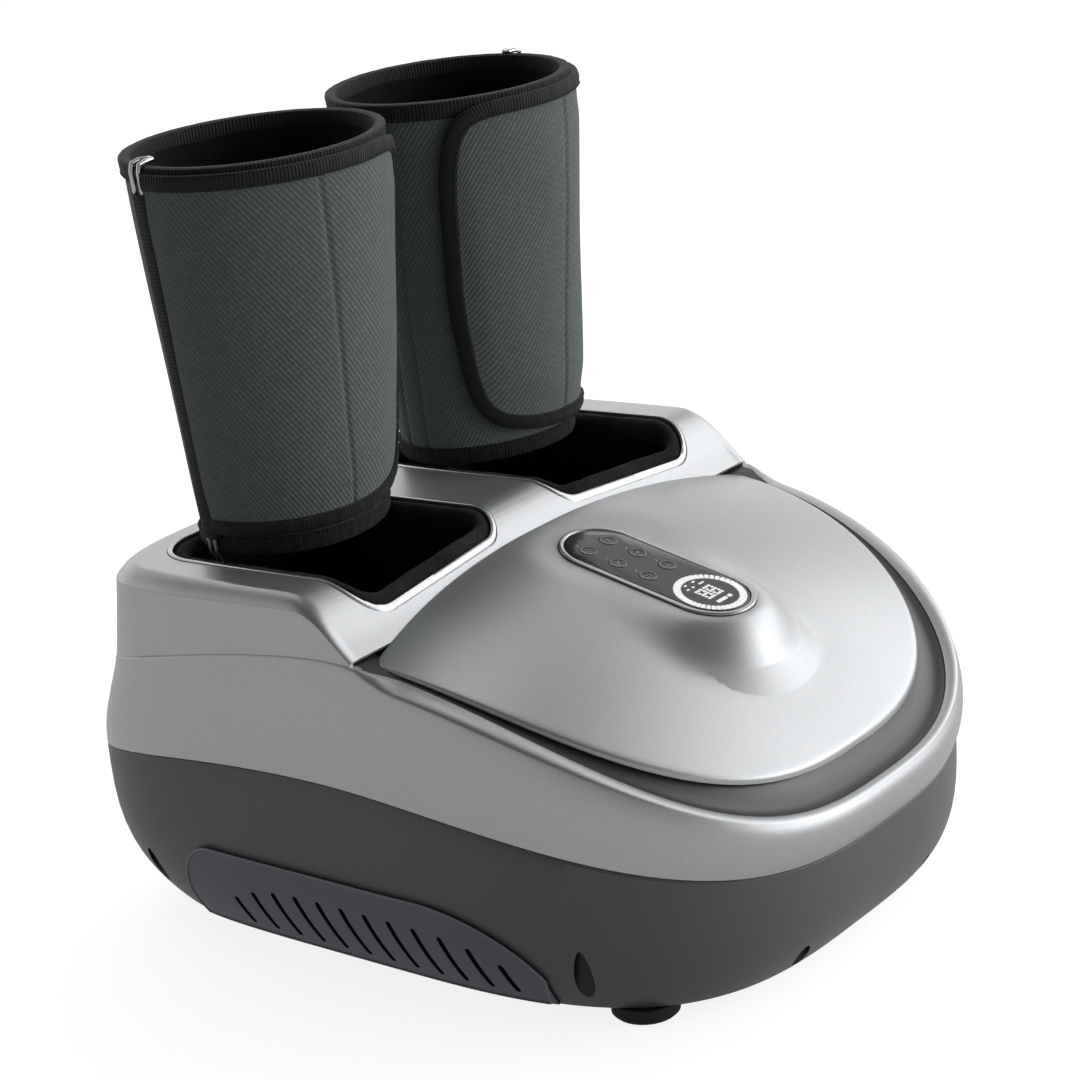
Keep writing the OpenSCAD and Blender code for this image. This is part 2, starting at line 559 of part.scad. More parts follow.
module display_board() {
    color("darkgreen") on_panel(board_w - 1.6) {
        translate([-15, -48, 0]) cube([30, 96, 1.6]);
        for (s = [-1, 1], v = [-27, 9, 38]) translate([s * 17.6, v, 0]) union() {
            cylinder(h = lens_top - lens_t - board_w + 1.6, r = 1.5, $fn = 24);
            translate([-s * 1.8 - 1.8, -1.5, 0]) cube([3.6, 3, 1.6]);
        }
    }
}
module key(n) {
    color("dimgray") on_panel(0) translate([key_places[n][0], key_places[n][1], 0]) {
        translate([0, 0, -3]) cylinder(h = lens_top + 3.2, r = key_d / 2);
        translate([0, 0, -3.2]) cylinder(h = 1.6, r = key_d / 2 + 1.3);
    }
}
module key_1() key(0);
module key_2() key(1);
module key_3() key(2);
module key_4() key(3);
module key_5() key(4);
module key_6() key(5);

module rubber_feet() {
    color("black") for (p = feet_at) translate([p[0], p[1], 0]) {
        cylinder(h = 1.5, r1 = foot_r - 1.5, r2 = foot_r);
        translate([0, 0, 1.5]) cylinder(h = foot_h - 1.5, r = foot_r);
        translate([0, 0, foot_h - 0.5]) cylinder(h = wall + 2, r = 2.2, $fn = 24);
    }
}
module housing_screws() {
    color("silver") for (p = screw_at) translate([p[0], p[1], 0]) difference() {
        union() {
            translate([0, 0, screw_seat_z - 3]) cylinder(h = 3, r = 3.8);
            translate([0, 0, screw_seat_z - 1]) cylinder(h = 22, r = 1.35, $fn = 24);
        }
        translate([0, 0, screw_seat_z - 4]) cylinder(h = 2.4, r = 1.6, $fn = 6);
    }
}
inlet_y = case_rear - 4;
module power_inlet() {
    color("black") translate([inlet_x, inlet_y, inlet_z]) rotate([90, 0, 0]) difference() {
        union() {
            cylinder(h = 22, r = inlet_r);
            translate([0, 0, 5.4]) cylinder(h = 2.4, r = inlet_r + 3);
        }
        translate([0, 0, -1]) difference() {
            cylinder(h = 13, r = 2.9, $fn = 32);
            cylinder(h = 14, r = 1, $fn = 16);
        }
    }
}

// Air system and board in the bay between the two liners
pump_at = [0, 96, floor_z];
module air_pump() {
    color("silver") translate(pump_at) union() {
        translate([-15, -34, 0]) cube([30, 68, 6]);
        translate([0, 33, 26]) rotate([90, 0, 0]) cylinder(h = 40, r = 14.5);
        translate([-14, -34, 6]) cube([28, 28, 34]);
        translate([-6, -14, 5]) cube([12, 40, 10]);
        for (s = [-1, 1]) translate([s * 7, -20, 38]) cylinder(h = 9, r = 2, $fn = 24);
    }
}
valve_at = [0, 27, floor_z];
module valve_block() {
    color("slategray") translate(valve_at) union() {
        translate([-14, -17, 0]) cube([28, 34, 18]);
        for (v = [-10, 0, 10]) translate([0, v, 17]) cylinder(h = 12, r = 4.4, $fn = 32);
        for (s = [-1, 1]) translate([s * 10.5, 0, 17]) cylinder(h = 10, r = 2, $fn = 24);
    }
}
module control_board() {
    color("darkgreen") translate([-0.8, -120, floor_z + 0.3]) union() {
        cube([1.6, 112, 58]);
        for (y = [12, 34, 62]) translate([1.5, y, 8]) cube([7, 14, 18]);
        translate([1.5, 86, 12]) cube([12, 20, 26]);
        for (y = [20, 70]) translate([1.5, y, 40]) rotate([0, 90, 0]) cylinder(h = 9, r = 5, $fn = 32);
    }
}

// A bent run of wire or hose through a list of points
module run(points, r, n) {
    for (i = [0 : len(points) - 2]) hull() {
        translate(points[i]) sphere(r = r, $fn = n);
        translate(points[i + 1]) sphere(r = r, $fn = n);
    }
}
module air_hoses() {
    color("lightgray") union() {
        for (s = [-1, 1]) {
            run([[s * 7, 76, 62], [s * 7.5, 70, 68], [s * 9, 50, 66], [s * 10.5, 34, 54], [s * 10.5, 27, 43]], 2.9, 10);
            run([[s * 12.5, 40, 52], [s * 16, 10, 78], [s * 15, -10, 100], [s * 15, -30, 140],
                [s * 22, -42, 168.5], [s * 40, -54, 168.5], [s * 58, -66, 160.2]], 2.4, 10);
        }
    }
}

// Kneading drive of the right foot: a plate on legs, a motor, a pinion and two wheels that carry heads
wheel_z = 39;
wheel_t = 7;
rear_wheel_y = 34;
front_wheel_y = rear_wheel_y - gear_m * wheel_teeth;
pinion_y = rear_wheel_y + gear_m * (wheel_teeth + pinion_teeth) / 2;
backlash = 0.5;
function gear_half(r, pitch_r) = (PI * gear_m / 4 - backlash / 2) - (r - pitch_r) * 0.36;
function at_angle(r, w, t) = [r * cos(t) - w * sin(t), r * sin(t) + w * cos(t)];
module gear(teeth, t) {
    p = gear_m * teeth / 2;
    root = p - 1.25 * gear_m;
    tip = p + 0.9 * gear_m;
    linear_extrude(t) polygon([for (k = [0 : teeth - 1]) let (a = 360 * k / teeth)
        each [at_angle(root, -gear_half(root, p), a), at_angle(tip, -gear_half(tip, p), a),
            at_angle(tip, gear_half(tip, p), a), at_angle(root, gear_half(root, p), a)]]);
}
module mechanism_plate() {
    color("silver") translate([foot_x, 0, 0]) difference() {
        union() {
            translate([-30, -72, plate_z - 3]) cube([60, 178, 3]);
            for (x = [-26, 26], y = [-67, 10, 101]) translate([x, y, floor_z]) cylinder(h = plate_z - floor_z - 1, r = 4, $fn = 32);
            for (y = [rear_wheel_y, front_wheel_y]) translate([0, y, plate_z - 1]) union() {
                cylinder(h = wheel_z - plate_z + 0.9, r = 7);
                cylinder(h = 12, r = pin_r, $fn = 32);
            }
        }
        translate([0, pinion_y, plate_z - 5]) cylinder(h = 10, r = 5);
    }
}
module motor() {
    color("dimgray") translate([foot_x, pinion_y, floor_z + 1.5]) difference() {
        union() {
            cylinder(h = plate_z - 3 - floor_z - 1.5, r = 21, $fn = 64);
            translate([0, 0, -1]) cylinder(h = 2, r = 6);
        }
        translate([0, 0, 6]) cylinder(h = 40, r = 3 + run_gap, $fn = 64);
    }
}
module pinion() {
    color("gold") translate([foot_x, pinion_y, 0]) union() {
        translate([0, 0, wheel_z]) rotate([0, 0, 180 / pinion_teeth]) gear(pinion_teeth, wheel_t);
        translate([0, 0, 19]) cylinder(h = wheel_z - 18.5, r = 3, $fn = 64);
    }
}
module wheel(y, turn) {
    color("ivory") translate([foot_x, y, wheel_z]) difference() {
        rotate([0, 0, turn]) gear(wheel_teeth, wheel_t);
        translate([0, 0, -1]) cylinder(h = wheel_t + 2, r = pin_r + run_gap, $fn = 64);
        for (a = [0 : 60 : 300]) rotate([0, 0, a + 30]) translate([20, 0, -1]) cylinder(h = wheel_t + 2, r = 5, $fn = 32);
    }
}
module head(y, turn) {
    color("dimgray") translate([foot_x, y, wheel_z + wheel_t]) difference() {
        union() {
            cylinder(h = 4, r = head_r, $fn = 72);
            for (a = [0, 120, 240]) rotate([0, 0, a + turn]) translate([20, 0, 3]) union() {
                rotate_extrude($fn = 32) polygon([[0, 0], [10, 0], [10, 7], [9.3, 10], [7.5, 12.4], [4.5, 14], [0, 14.5]]);
            }
        }
        translate([0, 0, -1]) cylinder(h = 48 + 0.4 - wheel_z - wheel_t + 1, r = pin_r + run_gap, $fn = 64);
    }
}
module left_mechanism_plate() left_side() mechanism_plate();
module right_mechanism_plate() mechanism_plate();
module left_motor() left_side() motor();
module right_motor() motor();
module left_pinion() left_side() pinion();
module right_pinion() pinion();
module left_rear_wheel() left_side() wheel(rear_wheel_y, 0);
module right_rear_wheel() wheel(rear_wheel_y, 0);
module left_front_wheel() left_side() wheel(front_wheel_y, 180 / wheel_teeth);
module right_front_wheel() wheel(front_wheel_y, 180 / wheel_teeth);
module left_rear_head() left_side() head(rear_wheel_y, 90);
module right_rear_head() head(rear_wheel_y, 90);
module left_front_head() left_side() head(front_wheel_y, 30);
module right_front_head() head(front_wheel_y, 30);

module heater_pad() {
    color("orange") translate([foot_x - 34, -96, sole_z - 2.2]) cube([68, 190, 1.8]);
}
module left_heater_pad() left_side() heater_pad();
module right_heater_pad() heater_pad();

// Flat air cell on the roof of the toe pocket
bag_side = [[-122, 126.4], [-60, 153.1], [-40, 163.6], [-40, 168.6], [-60, 160.1], [-122, 132.4]];
module foot_airbag() {
    color("gray") intersection() {
        across(foot_x - 42, foot_x + 34, bag_side);
        translate([foot_x - 4, -81, 120]) cylinder(h = 60, r = 58, $fn = 64);
    }
}
module left_foot_airbag() left_side() foot_airbag();
module right_foot_airbag() foot_airbag();

// Calf wraps: an oval tapering tube of padded cloth with a wide flap round its front
function wrap_k(z) = (z - wrap_foot_z) / (wrap_top_z - wrap_foot_z);
function wrap_at(t, z, o) = let (k = wrap_k(z)) [foot_x - wrap_lean * k + (mix(wrap_foot_rx, wrap_top_rx, k) + o) * cos(t),
    wrap_y + 3 * k + (mix(wrap_foot_ry, wrap_top_ry, k) + o) * sin(t), z];
tube_o = -3;
wrap_steps = 36;
// Lower edge of a wrap, which dips at the rear to rest by the well
function wrap_low(t) = wrap_foot_z - 3.2 * pow(max(0, sin(t)), 4);
module wrap() {
    zs = [0, 0.33, 0.66, 1];
    color("slategray") sweep([for (i = [0 : wrap_steps - 1]) let (t = 360 * i / wrap_steps) concat(
        [for (s = zs) wrap_at(t, mix(wrap_low(t), wrap_top_z, s), tube_o)],
        [for (s = [1, 0.66, 0.33, 0]) wrap_at(t, mix(wrap_low(t), wrap_top_z, s), tube_o - pad_t)])], closed = true);
}
module left_wrap() left_side() wrap();
module right_wrap() wrap();

bind_t = 1.1;
bind_h = 9;
module binding_loop(up) {
    q = [[bind_t, -bind_h], [bind_t, bind_t], [-pad_t - bind_t, bind_t], [-pad_t - bind_t, -bind_h],
        [-pad_t - 0.2, -bind_h], [-pad_t - 0.2, 0.2], [0.2, 0.2], [0.2, -bind_h]];
    sweep([for (i = [0 : wrap_steps - 1]) let (t = 360 * i / wrap_steps) [for (p = q)
        let (e = up ? wrap_top_z : wrap_low(t)) wrap_at(t, e + (up ? p[1] : -p[1]), tube_o + p[0])]], closed = true);
}
module wrap_binding() {
    color("black") {
        binding_loop(true);
        binding_loop(false);
    }
}
module left_wrap_binding() left_side() wrap_binding();
module right_wrap_binding() wrap_binding();

// Flap: its hinge line is the first angle, its free edge the last
flap_t_list = [4, 0, -12, -26, -40, -54, -68, -82, -96, -108, -118, -125, -131, -136, -140, -142.5, -144, -145];
flap_o = tube_o + bind_t + 0.7;
flap_low = [[-146, 300], [-145, 290], [-144, 270], [-140, 252], [-131, 241], [-112, 233], [-81, 230], [4, 229]];
flap_high = [[-146, 320], [-145, 341], [-144, 375], [-141, 397], [-137, 409], [-130, 417], [-118, 420], [4, 420]];
module flap() {
    color("darkslategray") sweep([for (t = flap_t_list) let (a = lookup(t, flap_low), b = lookup(t, flap_high),
        inner = t == 4 ? tube_o + 0.3 : flap_o)
        [wrap_at(t, a, inner), wrap_at(t, b, t == 4 ? flap_o : inner), wrap_at(t, b, flap_o + flap_t), wrap_at(t, a, flap_o + flap_t)]]);
}
module left_flap() left_side() flap();
module right_flap() flap();

// Air cell behind the calf, on the inner face of the wrap
bag_t_list = [for (t = [40 : 10 : 140]) t];
module calf_airbag() {
    inner = tube_o - pad_t - 0.4;
    color("gray") sweep([for (t = bag_t_list) let (e = t == 40 || t == 140 ? 1.2 : 3.6)
        [wrap_at(t, 245, inner), wrap_at(t, 400, inner), wrap_at(t, 396, inner - e), wrap_at(t, 249, inner - e)]]);
}
module left_calf_airbag() left_side() calf_airbag();
module right_calf_airbag() calf_airbag();

// Steel stay up the outer side of a wrap: two legs, a loop over the rim and a hook into the well
stay_o = tube_o + bind_t + 0.4 + stay_r;
function stay_leg(t) = [wrap_at(t, 203, -8) - [5, 0, 0], wrap_at(t, 204, -2.2), wrap_at(t, 211, -1.6),
    wrap_at(t, 215.5, -0.6) + [0.6, 0, 0], wrap_at(t, 222, stay_o) + [0.2, 0, 0], wrap_at(t, wrap_top_z - 2, stay_o)];
function stay_arch(t, s) = [wrap_at(t, wrap_top_z + 2.2, stay_o - 1.4), wrap_at(t - s, wrap_top_z + 3.2, -6)];
module wrap_stay() {
    color("silver") union() {
        run(concat(stay_leg(7), stay_arch(7, 0)), stay_r, 10);
        run(concat(stay_leg(13), stay_arch(13, 0)), stay_r, 10);
        run([stay_arch(7, 0)[1], wrap_at(8.5, wrap_top_z + 3.2, -11), wrap_at(11.5, wrap_top_z + 3.2, -11), stay_arch(13, 0)[1]],
            stay_r, 10);
    }
}
module left_wrap_stay() left_side() wrap_stay();
module right_wrap_stay() wrap_stay();

lower_housing();
upper_housing();
tower_wall();
rear_cowl();
top_lid();
cove_trim();
left_vent_panel();
right_vent_panel();
left_well_trim();
right_well_trim();
left_foot_liner();
right_foot_liner();
left_well_lip();
right_well_lip();
panel_bezel();
panel_lens();
display_ring();
display_board();
key_1();
key_2();
key_3();
key_4();
key_5();
key_6();
rubber_feet();
housing_screws();
power_inlet();
control_board();
air_pump();
valve_block();
air_hoses();
left_mechanism_plate();
right_mechanism_plate();
left_motor();
right_motor();
left_pinion();
right_pinion();
left_front_wheel();
left_rear_wheel();
right_front_wheel();
right_rear_wheel();
left_front_head();
left_rear_head();
right_front_head();
right_rear_head();
left_heater_pad();
right_heater_pad();
left_foot_airbag();
right_foot_airbag();
left_wrap();
right_wrap();
left_wrap_binding();
right_wrap_binding();
left_flap();
right_flap();
left_calf_airbag();
right_calf_airbag();
left_wrap_stay();
right_wrap_stay();
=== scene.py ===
"""Foot and calf massager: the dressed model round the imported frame, in metres; lengths below are in millimetres."""
import math
import bpy
import bmesh
from mathutils import Matrix, Vector


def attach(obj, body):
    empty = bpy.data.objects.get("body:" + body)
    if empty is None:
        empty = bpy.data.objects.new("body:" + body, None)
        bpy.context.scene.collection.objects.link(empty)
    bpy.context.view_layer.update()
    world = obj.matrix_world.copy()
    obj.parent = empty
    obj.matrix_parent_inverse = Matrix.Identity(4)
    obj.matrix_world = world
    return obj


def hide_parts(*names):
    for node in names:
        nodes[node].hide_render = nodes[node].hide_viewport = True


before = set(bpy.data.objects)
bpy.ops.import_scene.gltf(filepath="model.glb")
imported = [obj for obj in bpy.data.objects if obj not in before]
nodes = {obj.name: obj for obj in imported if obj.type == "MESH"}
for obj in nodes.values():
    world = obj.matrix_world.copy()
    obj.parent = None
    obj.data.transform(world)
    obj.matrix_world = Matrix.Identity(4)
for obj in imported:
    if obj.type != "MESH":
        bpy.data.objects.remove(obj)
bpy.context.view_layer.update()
MM = 0.001

# ---------------------------------------------------------------- small helpers


def mix(a, b, t):
    return a + (b - a) * t


def step01(a, b, v):
    t = min(1.0, max(0.0, (v - a) / (b - a)))
    return t * t * (3 - 2 * t)


def soft_min(a, b, k):
    h = max(k - abs(a - b), 0) / k
    return min(a, b) - h * h * k / 4


def soft_max(a, b, k):
    return -soft_min(-a, -b, k)


def curve_through(table, x):
    """Smooth value at x of a table of (x, value), rising in x."""
    if x <= table[0][0]:
        return table[0][1]
    if x >= table[-1][0]:
        return table[-1][1]
    for i in range(len(table) - 1):
        if x <= table[i + 1][0]:
            break
    (x1, y1), (x2, y2) = table[i], table[i + 1]
    x0, y0 = table[max(0, i - 1)]
    x3, y3 = table[min(len(table) - 1, i + 2)]
    m1 = (y2 - y0) / (x2 - x0)
    m2 = (y3 - y1) / (x3 - x1)
    t, w = (x - x1) / (x2 - x1), x2 - x1
    return ((2 * t ** 3 - 3 * t ** 2 + 1) * y1 + (t ** 3 - 2 * t ** 2 + t) * m1 * w
            + (-2 * t ** 3 + 3 * t ** 2) * y2 + (t ** 3 - t ** 2) * m2 * w)


def turn_of(i, around):
    return math.radians(360.0 * i / around - 90)


def outline_at(t, a, front, rear, nf, nr):
    """Place on a closed outline of two half superellipses, at turn t from +X."""
    c, s = math.cos(t), math.sin(t)
    n, b = (nf, front) if s < 0 else (nr, rear)
    r = ((abs(c) / a) ** n + (abs(s) / b) ** n) ** (-1 / n)
    return r * c, r * s


def rounded(corners, radii, steps):
    """A closed polygon with its corners rounded, as a list of points."""
    out = []
    for k, c in enumerate(corners):
        c, p, n = Vector(c), Vector(corners[k - 1]), Vector(corners[(k + 1) % len(corners)])
        u, v = (p - c).normalized(), (n - c).normalized()
        half = u.angle(v) / 2
        o = c + (u + v).normalized() * radii[k] / math.sin(half)
        d = radii[k] / math.tan(half)
        a, b = c + u * d - o, c + v * d - o
        a0 = math.atan2(a.y, a.x)
        sweep = (math.atan2(b.y, b.x) - a0 + 3 * math.pi) % (2 * math.pi) - math.pi
        for s in range(steps + 1):
            w = a0 + sweep * s / steps
            out.append(o + Vector((math.cos(w), math.sin(w))) * radii[k])
    return out


def even(points, count, closed=True):
    """The same line with its points spread evenly."""
    line = [Vector(p) for p in points] + ([Vector(points[0])] if closed else [])
    run = [0.0]
    for a, b in zip(line, line[1:]):
        run.append(run[-1] + (b - a).length)
    out, j = [], 0
    for k in range(count):
        d = run[-1] * k / (count if closed else count - 1)
        while j < len(run) - 2 and run[j + 1] < d:
            j += 1
        f = (d - run[j]) / max(1e-9, run[j + 1] - run[j])
        out.append(line[j].lerp(line[j + 1], min(1, max(0, f))))
    return out


def drop_selection():
    if bpy.context.mode != "OBJECT":
        bpy.ops.object.mode_set(mode="OBJECT")
    bpy.ops.object.select_all(action="DESELECT")


def pick(piece):
    drop_selection()
    piece.select_set(True)
    bpy.context.view_layer.objects.active = piece


def modify(piece, kind, **settings):
    """Adds a modifier and applies it."""
    pick(piece)
    m = piece.modifiers.new(kind.title(), kind)
    for key, value in settings.items():
        setattr(m, key, value)
    bpy.ops.object.modifier_apply(modifier=m.name)
    return piece


def tidy(piece, angle=38, merge=0.00002):
    """Merges doubles, turns the faces outward and smooths all but the sharp edges."""
    pick(piece)
    bpy.ops.object.mode_set(mode="EDIT")
    bpy.ops.mesh.select_all(action="SELECT")
    bpy.ops.mesh.remove_doubles(threshold=merge)
    bpy.ops.mesh.normals_make_consistent(inside=False)
    bpy.ops.object.mode_set(mode="OBJECT")
    bpy.ops.object.shade_smooth_by_angle(angle=math.radians(angle))
    return piece


def ring_of_sections(name, around, sides, place, uv=None):
    """A closed band: a torus whose points are set by their turn and their place in the section."""
    drop_selection()
    bpy.ops.mesh.primitive_torus_add(major_segments=around, minor_segments=sides,
                                     major_radius=2, minor_radius=1, generate_uvs=uv is not None)
    piece = bpy.context.object
    piece.name = name
    spot = {}
    for v in piece.data.vertices:
        i = round((math.atan2(v.co.y, v.co.x) / (2 * math.pi)) * around) % around
        j = round((math.atan2(v.co.z, math.hypot(v.co.x, v.co.y) - 2) / (2 * math.pi)) * sides) % sides
        spot[v.index] = (i, j)
        v.co = Vector(place(i, j)) * MM
    if uv:
        layer = piece.data.uv_layers[0].data
        for face in piece.data.polygons:
            far = max(spot[v][0] for v in face.vertices) - min(spot[v][0] for v in face.vertices) > around / 2
            high = max(spot[v][1] for v in face.vertices) - min(spot[v][1] for v in face.vertices) > sides / 2
            for corner in face.loop_indices:
                i, j = spot[piece.data.loops[corner].vertex_index]
                layer[corner].uv = uv(i + around if far and i < around / 2 else i,
                                      j + sides if high and j < sides / 2 else j)
    return tidy(piece)


def capped_rings(name, around, rows, place):
    """A closed body drawn up row by row from a ring, its two ends filled flat."""
    drop_selection()
    bpy.ops.mesh.primitive_circle_add(vertices=around, radius=1, fill_type="NGON")
    piece = bpy.context.object
    piece.name = name
    bpy.ops.object.mode_set(mode="EDIT")
    bpy.ops.mesh.select_all(action="SELECT")
    for _ in range(rows - 1):
        bpy.ops.mesh.extrude_region_move(TRANSFORM_OT_translate={"value": (0, 0, 1)})
    bpy.ops.object.mode_set(mode="OBJECT")
    for v in piece.data.vertices:
        i = round((math.atan2(v.co.y, v.co.x) / (2 * math.pi)) * around) % around
        v.co = Vector(place(round(v.co.z), i)) * MM
    return tidy(piece)


def sheet_by(name, across, along, place, uv=None):
    """An open sheet: a grid whose points are set by their shares u and v."""
    drop_selection()
    bpy.ops.mesh.primitive_grid_add(x_subdivisions=across, y_subdivisions=along, size=2, calc_uvs=uv is not None)
    piece = bpy.context.object
    piece.name = name
    share = {v.index: ((v.co.x + 1) / 2, (v.co.y + 1) / 2) for v in piece.data.vertices}
    if uv:
        layer = piece.data.uv_layers[0].data
        for corner in piece.data.loops:
            layer[corner.index].uv = uv(*share[corner.vertex_index])
    for v in piece.data.vertices:
        v.co = Vector(place(*share[v.index])) * MM
    return piece


def joined(name, parts):
    drop_selection()
    for p in parts:
        p.select_set(True)
    bpy.context.view_layer.objects.active = parts[0]
    bpy.ops.object.join()
    parts[0].name = name
    return parts[0]


def boolean(piece, operation, other):
    """Joins, cuts or limits a piece by another, which is then gone."""
    modify(piece, "BOOLEAN", operation=operation, solver="EXACT", object=other)
    bpy.data.objects.remove(other, do_unlink=True)
    return piece


def cut(piece, cutter):
    return boolean(piece, "DIFFERENCE", cutter)


def mirrored(piece, name):
    """The same piece on the other side of the middle plane, with a mesh of its own."""
    other = piece.copy()
    other.data = piece.data.copy()
    other.name = name
    bpy.context.scene.collection.objects.link(other)
    other.data.transform(Matrix.Scale(-1, 4, (1, 0, 0)))
    other.data.flip_normals()
    return other


# ---------------------------------------------------------------- finishes


def linear(code):
    """sRGB hex to the linear colour a shader takes."""
    out = []
    for k in (1, 3, 5):
        c = int(code[k:k + 2], 16) / 255
        out.append(c / 12.92 if c <= 0.04045 else ((c + 0.055) / 1.055) ** 2.4)
    return (*out, 1.0)


def add(mat, kind, values=None, links=None, **own):
    """Adds one node, sets its own settings and input values, and links its inputs."""
    n = mat.node_tree.nodes.new("ShaderNode" + kind)
    for key, value in own.items():
        setattr(n, key, value)
    for key, value in (values or {}).items():
        n.inputs[key].default_value = value
    for key, source in (links or {}).items():
        mat.node_tree.links.new(source, n.inputs[key])
    return n


def new_finish(name):
    mat = bpy.data.materials.new(name)
    mat.use_nodes = True
    mat.node_tree.nodes.clear()
    return mat


def per_m(size_mm):
    """Pattern scale for a feature of this size, on coordinates in metres."""
    return 1000.0 / size_mm


def close_finish(mat, values, links=None):
    shader = add(mat, "BsdfPrincipled", values, links)
    add(mat, "OutputMaterial", links={"Surface": shader.outputs["BSDF"]})
    return mat


def moulded(name, shade, rough, metal=0.0, grain=0.6, depth=0.00002, vary=0.06, coat=0.0, glow=0.0):
    """Moulded plastic: a fine spark-eroded grain, and a slow drift of tone and gloss."""
    mat = new_finish(name)
    where = add(mat, "TexCoord").outputs["Object"]
    fine = add(mat, "TexNoise", {"Scale": per_m(grain), "Detail": 3.0, "Roughness": 0.6}, {"Vector": where})
    slow = add(mat, "TexNoise", {"Scale": per_m(60), "Detail": 2.0}, {"Vector": where})
    base = linear(shade)[:3]
    tone = add(mat, "ValToRGB", links={"Fac": slow.outputs["Fac"]})
    tone.color_ramp.elements[0].color = [c * (1 - vary) for c in base] + [1]
    tone.color_ramp.elements[1].color = [min(1, c * (1 + vary)) for c in base] + [1]
    gloss = add(mat, "MapRange", {"To Min": rough - 0.04, "To Max": rough + 0.04}, {"Value": fine.outputs["Fac"]})
    bump = add(mat, "Bump", {"Strength": 1.0, "Distance": depth}, {"Height": fine.outputs["Fac"]})
    return close_finish(mat, {"Metallic": metal, "Coat Weight": coat, "Coat Roughness": 0.2, "IOR": 1.5,
                              "Emission Color": linear(shade), "Emission Strength": glow},
                        {"Base Color": tone.outputs["Color"], "Roughness": gloss.outputs["Result"],
                         "Normal": bump.outputs["Normal"]})


def silver_paint(name="satin_silver_painted_abs", low="#BCBEC0", high="#D0D2D4", metal=0.75):
    """Satin metallic silver paint on moulded ABS: tiny bright flakes under a soft clear coat."""
    mat = new_finish(name)
    where = add(mat, "TexCoord").outputs["Object"]
    # flakes are finer than a pixel, so they are drawn 0.7 mm across to show at all
    flake = add(mat, "TexVoronoi", {"Scale": per_m(0.7)}, {"Vector": where})
    spark = add(mat, "MapRange", {"From Min": 0.0, "From Max": 1.0, "To Min": 0.0, "To Max": 1.0},
                {"Value": flake.outputs["Color"]})
    slow = add(mat, "TexNoise", {"Scale": per_m(90), "Detail": 1.5}, {"Vector": where})
    tone = add(mat, "Mix", {"A": linear(low), "B": linear(high)}, {"Factor": spark.outputs["Result"]},
               data_type="RGBA")
    drift = add(mat, "Mix", {"Factor": 0.5, "B": linear(low)}, {"A": tone.outputs[2]}, data_type="RGBA")
    gloss = add(mat, "MapRange", {"To Min": 0.34, "To Max": 0.42}, {"Value": slow.outputs["Fac"]})
    bump = add(mat, "Bump", {"Strength": 0.25, "Distance": 0.00002}, {"Height": flake.outputs["Distance"]})
    return close_finish(mat, {"Metallic": metal, "Coat Weight": 0.1, "Coat Roughness": 0.3},
                        {"Base Color": drift.outputs[2], "Roughness": gloss.outputs["Result"],
                         "Normal": bump.outputs["Normal"]})


def plush(name, dark, light, pile=1.1):
    """Short black plush: a soft nap that catches light at grazing angles."""
    mat = new_finish(name)
    where = add(mat, "TexCoord").outputs["Object"]
    nap = add(mat, "TexNoise", {"Scale": per_m(pile), "Detail": 4.0, "Roughness": 0.7}, {"Vector": where})
    stroke = add(mat, "TexNoise", {"Scale": per_m(22), "Detail": 2.0}, {"Vector": where})
    both = add(mat, "Math", {}, {0: nap.outputs["Fac"], 1: stroke.outputs["Fac"]}, operation="MULTIPLY")
    tone = add(mat, "ValToRGB", links={"Fac": both.outputs["Value"]})
    tone.color_ramp.elements[0].position = 0.12
    tone.color_ramp.elements[0].color = linear(dark)
    tone.color_ramp.elements[1].position = 0.42
    tone.color_ramp.elements[1].color = linear(light)
    bump = add(mat, "Bump", {"Strength": 0.9, "Distance": 0.0006}, {"Height": nap.outputs["Fac"]})
    return close_finish(mat, {"Roughness": 0.95, "Sheen Weight": 0.25, "Sheen Roughness": 0.45,
                              "Sheen Tint": linear("#8A8C8E"), "Specular IOR Level": 0.2},
                        {"Base Color": tone.outputs["Color"], "Normal": bump.outputs["Normal"]})


